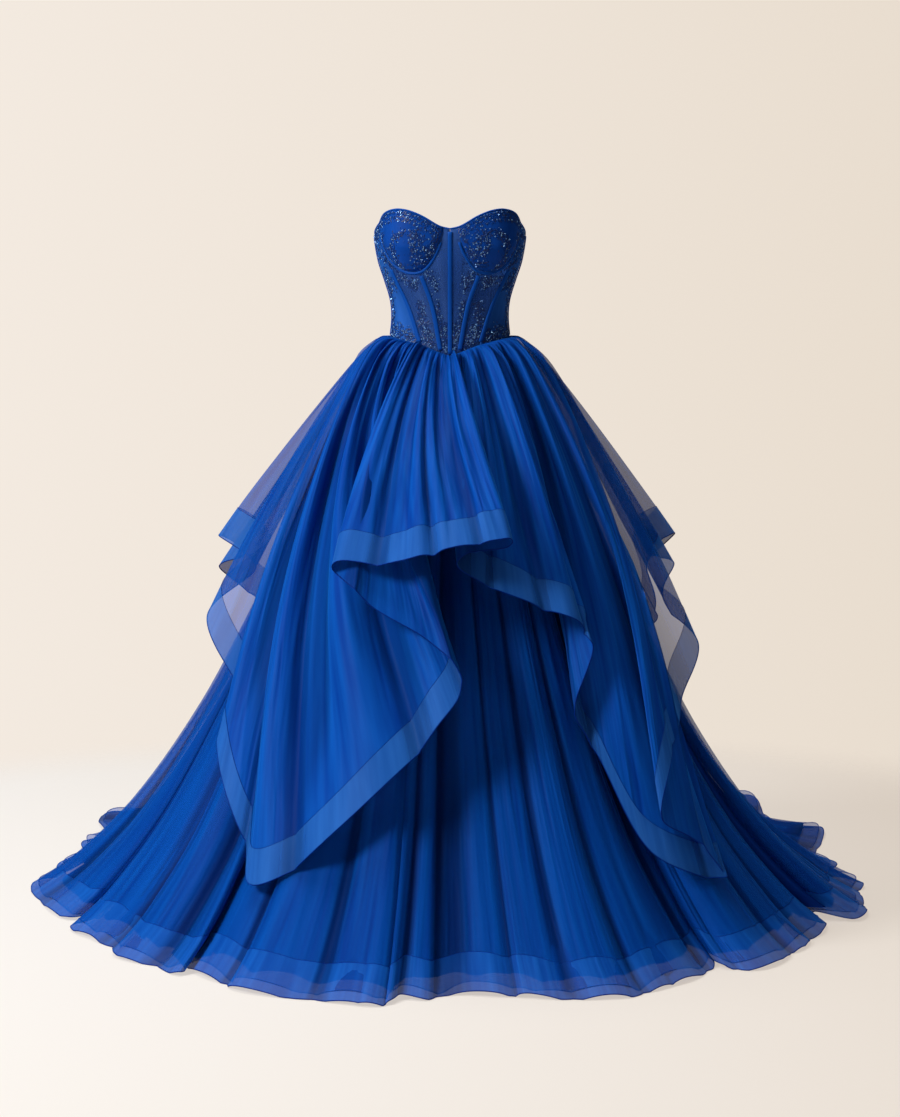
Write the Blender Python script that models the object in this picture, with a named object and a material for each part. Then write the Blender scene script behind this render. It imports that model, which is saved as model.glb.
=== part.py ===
"""Strapless ball gown: boned corset bodice on a full gathered skirt with a fluted overskirt.

Metres, +Z up. The origin is the middle of the waist, the front faces -Y and the gown's right-hand
side in a front view is +X. Angles are in degrees round +Z: 0 is the centre front, 90 is +X and
180 is the centre back. All cloth is worn, so the walls are hollow and the hem lies on the floor.
"""

import math

import bmesh
import bpy
from mathutils import Vector

# ---------------------------------------------------------------- sizes, in metres
CLOTH = 0.0012
BODICE_WALL = 0.0015
SEAM_GAP = 0.0003
TRIM_GAP = 0.0005
BONE_GAP = 0.0008
PANEL_ROWS = 9
FLOOR = -1.134
UPRIGHT = Vector((0, 0, 1))

CUP_BULGE = 0.026
CUP_ROWS = 5
LEAST_CUP = 0.002
BONE_WIDTH = 0.0085
BONE_HEIGHT = 0.0018
CASING_WIDTH = 0.0060
CASING_HEIGHT = 0.0032
BINDING_RADIUS = 0.0016
BINDING_STEPS = 46

ZIP_OPENING = 0.0090
ZIP_TAPE_WIDTH = 0.024
ZIP_TAPE_WALL = 0.0010
ZIP_TAPE_ENDS = (0.002, 0.192)
SLIDER_SIZE = (0.0072, 0.0026, 0.0110)
SLIDER_TOP = 0.190
PIN_RADIUS = 0.0006
PIN_STAND_OFF = 0.0024
PIN_BELOW_TOP = 0.0030
CHEEK_HEIGHT = 0.0028
CHEEK_RIM = 0.0006
TAB_EYE_INNER = 0.0009
TAB_EYE_OUTER = 0.0019
TAB_WIDTH = 0.0036
TAB_LENGTH = 0.020
TAB_WALL = 0.0012
TAB_STEPS = 14

LAYER_STEP = 0.0020
LAYER_SINK = 0.0035
SEAM_LAP = 0.0010
UNDERSKIRT_DROP = 0.0035
OUTER_LAYER = 2.5
HEM_BAND = 0.080
UNDERSKIRT_SHORTER = -0.060
UNDERSKIRT_LIFT = 0.009
INNER_SHORTER = -0.012
INNER_LIFT = 0.007
OUTER_LIFT = 0.014
OVERSKIRT_BAND = 0.066

# height, half width, front depth, back depth
BODY_SECTIONS = [
    (-0.050, 0.1200, 0.0930, 0.0840),
    (0.000, 0.1150, 0.0880, 0.0800),
    (0.040, 0.1116, 0.0870, 0.0780),
    (0.073, 0.1144, 0.0890, 0.0790),
    (0.112, 0.1260, 0.0960, 0.0830),
    (0.149, 0.1380, 0.1030, 0.0880),
    (0.200, 0.1460, 0.1060, 0.0920),
    (0.255, 0.1470, 0.1040, 0.0930),
]

# angle from the centre front, height of the neckline
NECKLINE = [(0, 0.206), (8, 0.2115), (20, 0.230), (30, 0.2405), (40, 0.244), (54, 0.237), (70, 0.217),
            (90, 0.201), (120, 0.197), (180, 0.196)]

# angle from the centre front, height of the waist seam
WAIST_SEAM = [(0, -0.036), (8, -0.032), (27, -0.019), (45, -0.010), (65, -0.003), (90, 0.000), (180, 0.000)]

# angle from the centre front, height of the lower edge of a cup
CUP_EDGE = [(5, 0.2035), (7.5, 0.187), (13, 0.158), (21, 0.135), (30, 0.1265), (40, 0.1285), (50, 0.140),
            (58, 0.159), (64, 0.184), (68, 0.213)]

# height, angle of the seam
INNER_SEAM = [(-0.045, 7.0), (0.050, 16.5), (0.135, 27.0), (0.210, 30.0)]
OUTER_SEAM = [(-0.030, 26.0), (0.000, 32.0), (0.040, 41.0), (0.100, 54.0), (0.150, 60.0), (0.210, 62.0)]

# share of the length, share of the drop, share of the reach
HANGING = [(0.00, 0.000, 0.000), (0.05, 0.012, 0.032), (0.12, 0.055, 0.078), (0.25, 0.180, 0.172),
           (0.40, 0.330, 0.284), (0.55, 0.480, 0.402), (0.70, 0.640, 0.540), (0.85, 0.820, 0.720),
           (0.95, 0.950, 0.900), (1.00, 1.000, 1.000)]
TRAILING = [(0.00, 0.000, 0.000), (0.05, 0.014, 0.020), (0.12, 0.070, 0.050), (0.25, 0.220, 0.115),
            (0.40, 0.430, 0.210), (0.55, 0.650, 0.320), (0.70, 0.860, 0.450), (0.85, 0.975, 0.690),
            (0.95, 0.997, 0.900), (1.00, 1.000, 1.000)]
OVERSKIRT_FALL = [(0.00, 0.000, 0.000), (0.06, 0.018, 0.064), (0.15, 0.085, 0.160), (0.30, 0.240, 0.320),
                  (0.50, 0.460, 0.528), (0.75, 0.730, 0.770), (1.00, 1.000, 1.000)]
# angle round the skirt, share of the trailing fall
TRAIN = [(-180, 1.0), (-145, 1.0), (-128, 0.60), (-112, 0.27), (-90, 0.05), (-60, 0.0), (0, 0.0),
         (60, 0.04), (80, 0.16), (96, 0.30), (112, 0.42), (128, 0.68), (145, 1.0), (180, 1.0)]

# name, seam, height of its lower end, height of its upper end
BONES = [
    ("bone_inner", "inner", -0.0235, 0.1180),
    ("bone_outer", "outer", -0.0085, 0.1300),
    ("bone_side", 90, 0.0045, 0.1965),
    ("bone_back", 135, 0.0045, 0.1925),
]
CENTRE_BONE = (-0.0315, 0.2020)
# shares of a panel's width at which it has a column of points
EVEN_COLUMNS = (0, 0.25, 0.5, 0.75, 1)
CENTRE_COLUMNS = (0, 0.08, 0.16, 0.28, 0.45, 0.7, 1)
MIDDLE_COLUMNS = (0, 0.25, 0.5, 0.7, 0.86, 1)
SIDE_COLUMNS = (0, 0.12, 0.26, 0.36, 0.5, 0.75, 1)
# shares of the length at which a layer has a row of points, above its band
SKIRT_ROWS = (0, 0.05, 0.18, 0.42, 0.70)
OVERSKIRT_ROWS = (0, 0.05, 0.20, 0.50)

# crest angle, reach of the hem at the crest, depth of the trough that follows
SKIRT_FOLDS = [
    (-171, 1.30, 0.050), (-158, 1.30, 0.055), (-146, 1.25, 0.060), (-136, 1.17, 0.070), (-124, 0.98, 0.055),
    (-111, 0.90, 0.050), (-98, 0.855, 0.050), (-87, 0.800, 0.045), (-76, 0.745, 0.045), (-65, 0.720, 0.035),
    (-54, 0.720, 0.045), (-43, 0.725, 0.045), (-31, 0.735, 0.030), (-20, 0.738, 0.030), (-9, 0.742, 0.055),
    (0, 0.700, 0.025), (12, 0.705, 0.030), (25, 0.742, 0.040), (36, 0.715, 0.050), (47, 0.742, 0.050),
    (60, 0.735, 0.040), (74, 0.748, 0.040), (84, 0.812, 0.050), (98, 0.850, 0.050), (111, 0.885, 0.055),
    (124, 1.00, 0.060), (134, 1.10, 0.065), (146, 1.29, 0.070), (158, 1.32, 0.055), (172, 1.33, 0.050),
]

# angle at the waist seam, angle at the hem, reach of the hem, drop of the hem below the waist
OVERSKIRT_HEM = [
    (-170, -170, 0.640, 0.850), (-155, -156, 0.585, 0.760), (-140, -141, 0.590, 0.660),
    (-124, -126, 0.490, 0.560), (-112, -110, 0.505, 0.470), (-106, -101, 0.425, 0.430),
    (-100, -92, 0.458, 0.394), (-94, -82, 0.390, 0.450), (-89, -74, 0.487, 0.540),
    (-84, -58, 0.462, 0.684), (-79, -53, 0.540, 0.756), (-72, -40, 0.592, 0.912),
    (-64, -34, 0.622, 0.977), (-57, -19, 0.605, 0.859), (-50, -4, 0.545, 0.700),
    (-45, 2, 0.520, 0.615), (-40, -5, 0.488, 0.535), (-35, -19, 0.476, 0.470),
    (-30, -25, 0.472, 0.409), (-18, -9, 0.482, 0.390), (-5, 4, 0.474, 0.360),
    (3, 12.5, 0.455, 0.364), (9, 3, 0.425, 0.405), (18, 12, 0.428, 0.452),
    (30, 27, 0.446, 0.500), (38, 35, 0.462, 0.550), (43, 29, 0.470, 0.670),
    (48, 33, 0.492, 0.735), (53, 38, 0.592, 0.925), (60, 51, 0.655, 0.985),
    (65, 44, 0.626, 0.905), (69, 38, 0.620, 0.850), (74, 45.5, 0.585, 0.747),
    (79, 60, 0.508, 0.680), (84, 73, 0.500, 0.585), (89, 81, 0.425, 0.500),
    (94, 88, 0.442, 0.440), (98, 94, 0.392, 0.425), (103, 101, 0.462, 0.395),
    (112, 111, 0.430, 0.470), (124, 124, 0.530, 0.590), (140, 140, 0.540, 0.680),
    (155, 156, 0.620, 0.790), (172, 174, 0.610, 0.850),
]

BLUE_DENSE = (0.010, 0.055, 0.330, 1.0)
BLUE_SHEER = (0.020, 0.090, 0.430, 1.0)
BLUE_BAND = (0.030, 0.115, 0.480, 1.0)
BLUE_BODICE = (0.012, 0.070, 0.340, 1.0)
BLUE_MESH = (0.045, 0.110, 0.300, 1.0)
ZIP_METAL = (0.030, 0.060, 0.200, 1.0)


# ---------------------------------------------------------------- reading the tables
def smooth_read(table, value, column=1):
    """Reads a column of a table at a value, with a smooth curve through its rows."""
    if value <= table[0][0]:
        return table[0][column]
    if value >= table[-1][0]:
        return table[-1][column]
    upper = next(i for i, row in enumerate(table) if row[0] >= value)
    low, high = table[upper - 1], table[upper]
    before = table[max(upper - 2, 0)]
    after = table[min(upper + 1, len(table) - 1)]
    span = high[0] - low[0]
    share = (value - low[0]) / span
    slope_low = (high[column] - before[column]) / max(high[0] - before[0], 1e-9) * span
    slope_high = (after[column] - low[column]) / max(after[0] - low[0], 1e-9) * span
    rise = high[column] - low[column]
    if slope_low * rise < 0:
        slope_low = 0.0
    if slope_high * rise < 0:
        slope_high = 0.0
    s2, s3 = share * share, share ** 3
    return ((2 * s3 - 3 * s2 + 1) * low[column] + (s3 - 2 * s2 + share) * slope_low
            + (3 * s2 - 2 * s3) * high[column] + (s3 - s2) * slope_high)


def ring_read(rows, place, column):
    """Reads a column of a closed ring of rows at a place, counted in rows, with a smooth curve."""
    count = len(rows)
    index = math.floor(place)
    share = place - index

    def value(step):
        turns, row = divmod(index + step, count)
        wrap = 360.0 * turns if column < 2 else 0.0
        return rows[row][column] + wrap

    p0, p1, p2, p3 = value(-1), value(0), value(1), value(2)
    return 0.5 * (2 * p1 + (p2 - p0) * share + (2 * p0 - 5 * p1 + 4 * p2 - p3) * share ** 2
                  + (3 * p1 - p0 - 3 * p2 + p3) * share ** 3)


def soft_step(value):
    """Runs from 0 to 1 with level ends."""
    value = min(max(value, 0.0), 1.0)
    return value * value * (3 - 2 * value)


def mix(a, b, share):
    """The value a share of the way from a to b."""
    return a + (b - a) * share


# ---------------------------------------------------------------- the figure inside the bodice
def signed_angle(angle):
    """The same angle between -180 and 180."""
    return (angle + 180.0) % 360.0 - 180.0


def folded_angle(angle):
    """The angle from the centre front, 0 to 180, for tables that serve both sides."""
    return abs(signed_angle(angle))


def polar_point(angle, distance, height):
    """The point at an angle, a distance from the upright axis and a height."""
    turn = math.radians(angle)
    return Vector((distance * math.sin(turn), -distance * math.cos(turn), height))


def body_point(angle, height, out=0.0):
    """A point of the bodice surface, moved out by a distance along the surface's level direction."""
    half_width = smooth_read(BODY_SECTIONS, height, 1)
    front = smooth_read(BODY_SECTIONS, height, 2)
    back = smooth_read(BODY_SECTIONS, height, 3)
    turn = math.radians(angle)
    depth = front if math.cos(turn) > 0 else back
    normal = Vector((math.sin(turn) / half_width, -math.cos(turn) / depth, 0)).normalized()
    point = Vector((half_width * math.sin(turn), -depth * math.cos(turn), height))
    return point + normal * out


def turn_of(width):
    """The angle that a width takes up at the centre front or back of the waist."""
    return math.degrees(width / smooth_read(BODY_SECTIONS, 0, 1))


def neckline(angle):
    """The height of the top edge."""
    return smooth_read(NECKLINE, folded_angle(angle))


def waist_seam(angle):
    """The height of the seam between bodice and skirt."""
    return smooth_read(WAIST_SEAM, folded_angle(angle))


def cup_edge(angle):
    """The height of the lower edge of a cup."""
    return smooth_read(CUP_EDGE, folded_angle(angle))


def in_cup(angle):
    """Whether a cup covers an angle."""
    return CUP_EDGE[0][0] <= folded_angle(angle) <= CUP_EDGE[-1][0]


def edge_below_cup(distance, steps=12):
    """The line (angle, height) that runs a distance below the lower edge of a cup."""
    first, last = CUP_EDGE[0][0], CUP_EDGE[-1][0]
    edge = [(mix(first, last, k / steps), cup_edge(mix(first, last, k / steps))) for k in range(steps + 1)]
    line = []
    for k, (angle, height) in enumerate(edge):
        after, before = edge[min(k + 1, steps)], edge[max(k - 1, 0)]
        arm = 0.9 * smooth_read(BODY_SECTIONS, height, 1)
        run = math.radians(after[0] - before[0]) * arm
        rise = after[1] - before[1]
        length = math.hypot(run, rise)
        line.append((angle + math.degrees(distance * rise / length / arm), height - distance * run / length))
    return line


PANEL_EDGE = edge_below_cup(CASING_WIDTH + TRIM_GAP)


def panel_top(angle):
    """The top of a bodice panel: the casing below the cup, or the neckline beside it."""
    turned = folded_angle(angle)
    if PANEL_EDGE[0][0] <= turned <= PANEL_EDGE[-1][0]:
        return min(smooth_read(PANEL_EDGE, turned), neckline(turned))
    return neckline(turned)


def cup_bulge(angle, height):
    """How far a moulded cup stands out from the figure at an angle and a height."""
    first, last = CUP_EDGE[0][0], CUP_EDGE[-1][0]
    across = (folded_angle(angle) - first) / (last - first)
    low = cup_edge(angle)
    up = (height - low) / max(neckline(angle) - low, 1e-6)
    side = math.sin(math.pi * min(max(across, 0.0), 1.0)) ** 0.75
    return CUP_BULGE * side * (1.0 - 0.42 * up) * min(1.0, 2.6 * up) ** 0.8


# ---------------------------------------------------------------- building walls
def grid_normals(points, closed):
    """A unit normal at each point of a grid, pointing outwards."""
    columns, rows = len(points), len(points[0])
    normals = []
    for i in range(columns):
        line = []
        for j in range(rows):
            after = points[(i + 1) % columns][j] if closed else points[min(i + 1, columns - 1)][j]
            before = points[(i - 1) % columns][j] if closed else points[max(i - 1, 0)][j]
            above = points[i][min(j + 1, rows - 1)]
            below = points[i][max(j - 1, 0)]
            line.append((after - before).cross(above - below).normalized())
        normals.append(line)
    return normals


def level_rims(normals, rims):
    """The same normals, made level along the given rows, so that a rim is cut upright."""
    for column in normals:
        for j in rims:
            column[j] = Vector((column[j].x, column[j].y, 0)).normalized()
    return normals


def wall_mesh(name, points, normals, inside, outside, closed, first_row=0):
    """A closed wall between two offsets of a grid; a closed grid joins its last column to its first."""
    points = [column[first_row:] for column in points]
    normals = [column[first_row:] for column in normals]
    columns, rows = len(points), len(points[0])
    shell = bmesh.new()
    sides = []
    for offset in (inside, outside):
        sides.append([[shell.verts.new(points[i][j] + normals[i][j] * offset) for j in range(rows)]
                      for i in range(columns)])
    inner, outer = sides
    steps = columns if closed else columns - 1
    for i in range(steps):
        k = (i + 1) % columns
        for j in range(rows - 1):
            shell.faces.new((outer[i][j], outer[k][j], outer[k][j + 1]))
            shell.faces.new((outer[i][j], outer[k][j + 1], outer[i][j + 1]))
            shell.faces.new((inner[i][j], inner[k][j + 1], inner[k][j]))
            shell.faces.new((inner[i][j], inner[i][j + 1], inner[k][j + 1]))
        shell.faces.new((inner[i][0], inner[k][0], outer[k][0], outer[i][0]))
        shell.faces.new((inner[k][-1], inner[i][-1], outer[i][-1], outer[k][-1]))
    if not closed:
        for j in range(rows - 1):
            shell.faces.new((inner[0][j + 1], inner[0][j], outer[0][j], outer[0][j + 1]))
            shell.faces.new((inner[-1][j], inner[-1][j + 1], outer[-1][j + 1], outer[-1][j]))
    bmesh.ops.recalc_face_normals(shell, faces=shell.faces)
    if shell.calc_volume(signed=True) < 0:
        bmesh.ops.reverse_faces(shell, faces=shell.faces)
    mesh = bpy.data.meshes.new(name)
    shell.to_mesh(mesh)
    shell.free()
    return mesh


def new_material(name, color, roughness, metallic=0.0):
    """A plain Principled material."""
    material = bpy.data.materials.new(name)
    material.use_nodes = True
    shader = material.node_tree.nodes["Principled BSDF"]
    shader.inputs["Base Color"].default_value = color
    shader.inputs["Roughness"].default_value = roughness
    shader.inputs["Metallic"].default_value = metallic
    material.diffuse_color = color
    return material


def add_object(name, data, material, collection):
    """A new object in a collection, with its material."""
    piece = bpy.data.objects.new(name, data)
    piece.data.materials.append(material)
    collection.objects.link(piece)
    return piece


# ---------------------------------------------------------------- the bodice
def panel_grid(left_seam, right_seam, shares, rows, side):
    """The grid of a bodice panel between two seams, from the waist seam to its top edge.

    A seam is a function of height that gives an angle. Each share of the width gives a column. side is
    1 for the +X half and -1 for the other.
    """
    grid = []
    for share in shares:

        def angle_at(height):
            half_gap = math.degrees(0.5 * SEAM_GAP / smooth_read(BODY_SECTIONS, height, 1))
            return mix(left_seam(height) + half_gap, right_seam(height) - half_gap, share)

        low, high = 0.0, 0.15
        for _ in range(12):
            low = waist_seam(angle_at(low)) + 0.5 * SEAM_GAP
            high = mix(high, panel_top(angle_at(high)) - 0.5 * SEAM_GAP, 0.6)
        column = []
        for j in range(rows + 1):
            height = mix(low, high, j / rows)
            column.append(body_point(side * angle_at(height), height))
        grid.append(column)
    return grid if side > 0 else grid[::-1]


def constant_seam(angle):
    """A seam that runs straight up at one angle."""
    return lambda height: angle


def inner_seam(height):
    """The angle of the seam between the front panel and its neighbour."""
    return smooth_read(INNER_SEAM, height)


def outer_seam(height):
    """The angle of the seam that ends beside the cup."""
    return smooth_read(OUTER_SEAM, height)


def build_panels(collection, mesh_material, panel_material):
    """The five panels on each side of the bodice."""
    half_zip = turn_of(0.5 * ZIP_OPENING)
    side, side_back, zip_edge = (constant_seam(angle) for angle in (90, 135, 180 - half_zip))
    plan = [
        ("front_panel", constant_seam(0), inner_seam, CENTRE_COLUMNS, mesh_material),
        ("front_mid", inner_seam, outer_seam, MIDDLE_COLUMNS, mesh_material),
        ("side_front", outer_seam, side, SIDE_COLUMNS, panel_material),
        ("side_back", side, side_back, EVEN_COLUMNS, panel_material),
        ("back", side_back, zip_edge, EVEN_COLUMNS, panel_material),
    ]
    for name, left_seam, right_seam, shares, material in plan:
        for half, hand in ((1, "right"), (-1, "left")):
            grid = panel_grid(left_seam, right_seam, shares, PANEL_ROWS, half)
            mesh = wall_mesh(name, grid, grid_normals(grid, False), 0, BODICE_WALL, False)
            add_object(f"{name}_{hand}", mesh, material, collection)


def build_cups(collection, material):
    """The two moulded cups above the underwires."""
    for side, hand in ((1, "right"), (-1, "left")):
        grid = []
        for angle, low in edge_below_cup(-2 * TRIM_GAP):
            high = max(neckline(angle), low + LEAST_CUP)
            column = []
            for j in range(CUP_ROWS + 1):
                height = mix(low, high, j / CUP_ROWS)
                column.append(body_point(side * angle, height, cup_bulge(angle, height)))
            grid.append(column)
        if side < 0:
            grid = grid[::-1]
        normals = level_rims(grid_normals(grid, False), (0, CUP_ROWS))
        mesh = wall_mesh("cup", grid, normals, 0, BODICE_WALL, False)
        add_object(f"cup_{hand}", mesh, material, collection)


def on_figure(point):
    """The point of the figure at the same angle and height as a point near it."""
    half_width = smooth_read(BODY_SECTIONS, point.z, 1)
    depth = smooth_read(BODY_SECTIONS, point.z, 2 if point.y < 0 else 3)
    return body_point(math.degrees(math.atan2(point.x / half_width, -point.y / depth)), point.z)


def strip_grid(line, width, side):
    """A grid three points wide along a line of (angle, height), for a bone or a casing."""
    grid = [[], [], []]
    count = len(line)
    for k, (angle, height) in enumerate(line):
        here = body_point(side * angle, height)
        after = body_point(side * line[min(k + 1, count - 1)][0], line[min(k + 1, count - 1)][1])
        before = body_point(side * line[max(k - 1, 0)][0], line[max(k - 1, 0)][1])
        along = (after - before).normalized()
        outwards = (body_point(side * angle, height, 0.01) - here).normalized()
        across = along.cross(outwards).normalized()
        for i, shift in enumerate((-0.5, 0.0, 0.5)):
            grid[i].append(on_figure(here + across * width * shift))
    return grid


def add_strip(name, line, width, side, material, collection, start, height):
    """A strip along a line, from a distance outside the figure up to a height above that."""
    grid = strip_grid(line, width, side)
    normals = grid_normals(grid, False)
    if normals[1][0].dot(body_point(side * line[0][0], line[0][1], 1.0) - grid[1][0]) < 0:
        grid = grid[::-1]
        normals = grid_normals(grid, False)
    mesh = wall_mesh(name, grid, normals, start, start + height, False)
    return add_object(name, mesh, material, collection)


def bone_line(seam, low, high, steps=5):
    """The line (angle, height) of a bone along a seam."""
    return [(seam(mix(low, high, k / steps)), mix(low, high, k / steps)) for k in range(steps + 1)]


def build_bones(collection, material):
    """The boning in its casings, on the seams and at the centre front."""
    curved = {"inner": inner_seam, "outer": outer_seam}
    start = BODICE_WALL + BONE_GAP
    centre = bone_line(constant_seam(0), *CENTRE_BONE, 8)
    add_strip("bone_centre", centre, BONE_WIDTH, 1, material, collection, start, BONE_HEIGHT)
    for name, seam, low, high in BONES:
        line = bone_line(curved.get(seam) or constant_seam(seam), low, high)
        for side, hand in ((1, "right"), (-1, "left")):
            add_strip(f"{name}_{hand}", line, BONE_WIDTH, side, material, collection, start, BONE_HEIGHT)


def build_underwires(collection, material):
    """The underwire casings, each between the panels and the lower edge of a cup."""
    line = edge_below_cup(0.5 * CASING_WIDTH + 0.5 * SEAM_GAP)[1:-1]
    for side, hand in ((1, "right"), (-1, "left")):
        add_strip(f"underwire_{hand}", line, CASING_WIDTH - 2 * SEAM_GAP, side, material, collection, 0.0,
                  CASING_HEIGHT)


def build_binding(collection, material):
    """The rolled binding that finishes the neckline, open at the zip."""
    half_zip = turn_of(0.5 * ZIP_OPENING)
    curve = bpy.data.curves.new("neckline_binding", "CURVE")
    curve.dimensions = "3D"
    curve.bevel_depth = BINDING_RADIUS
    curve.bevel_resolution = 1
    curve.use_fill_caps = True
    spline = curve.splines.new("POLY")
    spline.points.add(BINDING_STEPS)
    for k in range(BINDING_STEPS + 1):
        angle = mix(-180 + half_zip, 180 - half_zip, k / BINDING_STEPS)
        top = max(neckline(angle), cup_edge(angle) + LEAST_CUP if in_cup(angle) else 0)
        bulge = cup_bulge(angle, top) if in_cup(angle) else 0.0
        point = body_point(angle, top, bulge + 0.5 * BODICE_WALL)
        point.z += BINDING_RADIUS + BONE_GAP
        spline.points[k].co = (*point, 1.0)
    add_object("neckline_binding", curve, material, collection)


# ---------------------------------------------------------------- the zip
def box_mesh(name, size, centre):
    """A box of a size round a centre."""
    shape = bmesh.new()
    bmesh.ops.create_cube(shape, size=1.0)
    bmesh.ops.scale(shape, vec=size, verts=shape.verts)
    bmesh.ops.translate(shape, vec=centre, verts=shape.verts)
    mesh = bpy.data.meshes.new(name)
    shape.to_mesh(mesh)
    shape.free()
    return mesh


def build_zip_tape(collection, material):
    """One tape behind the centre-back opening."""
    reach = turn_of(0.5 * ZIP_TAPE_WIDTH)
    grid = []
    for i in range(5):
        angle = mix(180 - reach, 180 + reach, i / 4)
        heights = [mix(*ZIP_TAPE_ENDS, j / 6) for j in range(7)]
        grid.append([body_point(angle, height, -BONE_GAP - ZIP_TAPE_WALL) for height in heights])
    mesh = wall_mesh("zip_tape", grid, grid_normals(grid, False), 0, ZIP_TAPE_WALL, False)
    add_object("zip_tape", mesh, material, collection)


def pin_mesh(length, centre):
    """The cross pin, level and square to the zip."""
    shaft = bmesh.new()
    bmesh.ops.create_cone(shaft, cap_ends=True, segments=12, radius1=PIN_RADIUS, radius2=PIN_RADIUS,
                          depth=length)
    level = UPRIGHT.rotation_difference(Vector((1, 0, 0))).to_matrix()
    bmesh.ops.rotate(shaft, verts=shaft.verts, matrix=level)
    bmesh.ops.translate(shaft, vec=centre, verts=shaft.verts)
    mesh = bpy.data.meshes.new("pin")
    shaft.to_mesh(mesh)
    shaft.free()
    return mesh


def build_slider(collection, cutters, material):
    """The slider, with two cheeks and a cross pin for its tab. Gives the middle of the pin."""
    width, depth, height = SLIDER_SIZE
    bottom = SLIDER_TOP - height
    back = max(body_point(180, SLIDER_TOP).y, body_point(180, bottom).y)
    face = back + depth
    slab = box_mesh("zip_slider", SLIDER_SIZE, (0, back + 0.5 * depth, bottom + 0.5 * height))
    body = add_object("zip_slider", slab, material, collection)
    pin = Vector((0, face + PIN_STAND_OFF, SLIDER_TOP - PIN_BELOW_TOP))
    cheek_wall = 0.5 * (width - TAB_WIDTH) - SEAM_GAP
    cheek_size = (cheek_wall, PIN_STAND_OFF + 2 * PIN_RADIUS + CHEEK_RIM, CHEEK_HEIGHT)
    extras = [pin_mesh(width - cheek_wall, pin)]
    for side in (-1, 1):
        centre = (side * 0.5 * (width - cheek_wall), face + 0.5 * PIN_STAND_OFF, pin.z)
        extras.append(box_mesh("cheek", cheek_size, centre))
    for mesh in extras:
        helper = bpy.data.objects.new(mesh.name, mesh)
        helper.hide_render = True
        helper.display_type = "WIRE"
        cutters.objects.link(helper)
        union = body.modifiers.new(mesh.name, "BOOLEAN")
        union.operation = "UNION"
        union.object = helper
    return pin


def build_tab(collection, material, pin):
    """The pull tab: an eye round the pin and a flat arm, cut as one outline and hung down."""
    outline = bpy.data.curves.new("zip_tab", "CURVE")
    outline.dimensions = "2D"
    outline.fill_mode = "BOTH"
    outline.extrude = 0.5 * TAB_WIDTH
    half_arm = 0.5 * TAB_WALL
    start = math.asin(half_arm / TAB_EYE_OUTER)
    edge = []
    hole = []
    for k in range(TAB_STEPS + 1):
        turn = mix(start, math.tau - start, k / TAB_STEPS)
        edge.append((TAB_EYE_OUTER * math.cos(turn), TAB_EYE_OUTER * math.sin(turn)))
    for k in range(TAB_STEPS):
        turn = k * math.tau / TAB_STEPS
        hole.append((TAB_EYE_INNER * math.cos(turn), TAB_EYE_INNER * math.sin(turn)))
    edge += [(TAB_LENGTH - half_arm, -half_arm), (TAB_LENGTH, 0.0), (TAB_LENGTH - half_arm, half_arm)]
    for points in (edge, hole):
        spline = outline.splines.new("POLY")
        spline.points.add(len(points) - 1)
        for place, (along, across) in zip(spline.points, points):
            place.co = (along, across, 0.0, 1.0)
        spline.use_cyclic_u = True
    tab = add_object("zip_tab", outline, material, collection)
    tab.location = pin
    tab.rotation_euler = (0, math.radians(90), 0)


# ---------------------------------------------------------------- the skirt
def waist_ring(angle, layer):
    """Where a skirt layer meets the waist seam. Layers are counted outwards from the bodice wall."""
    point = body_point(angle, waist_seam(angle), LAYER_STEP * layer)
    point.z += SEAM_LAP if layer > 1 else -UNDERSKIRT_DROP
    return point


def fold_rows(folds, reach_change):
    """Crest and trough rows of a ring from a table of folds: angle at the seam, at the hem, reach."""
    rows = []
    count = len(folds)
    for k, (angle, reach, depth) in enumerate(folds):
        after = folds[(k + 1) % count]
        after_angle = after[0] + (360 if k == count - 1 else 0)
        between = 0.5 * (angle + after_angle)
        trough = 0.5 * (reach + after[1]) - depth
        rows.append((angle, angle, reach + reach_change))
        rows.append((between, between, trough + reach_change))
    return rows


def skirt_point(rows, place, length_share, layer, lift):
    """A point of a floor-length layer at a place round its ring and a share of its length."""
    angle = ring_read(rows, place, 0)
    reach = ring_read(rows, place, 2)
    top = waist_ring(angle, layer)
    if length_share == 0:
        return top
    start = math.hypot(top.x, top.y)
    trail = smooth_read(TRAIN, signed_angle(angle))
    down = mix(smooth_read(HANGING, length_share, 1), smooth_read(TRAILING, length_share, 1), trail)
    out = mix(smooth_read(HANGING, length_share, 2), smooth_read(TRAILING, length_share, 2), trail)
    sink = LAYER_SINK * (OUTER_LAYER - layer) * soft_step(length_share / 0.05)
    return polar_point(angle, mix(start, reach, out), mix(top.z, FLOOR + lift, down) - sink)


def share_above_hem(point_at, width):
    """The share of the length at which a column lies a width above its hem."""
    step = 0.04
    return 1 - step * width / (point_at(1) - point_at(1 - step)).length


def layer_grid(point_at, rows, columns, shares, band):
    """A layer's grid: columns round the ring, rows at the given shares, at the band's top and at the hem."""
    grid = []
    for i in range(columns):
        place = i * len(rows) / columns

        def column_point(share):
            return point_at(rows, place, share)

        band_top = share_above_hem(column_point, band)
        grid.append([column_point(share) for share in (*shares, band_top, 1)])
    return grid


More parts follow.
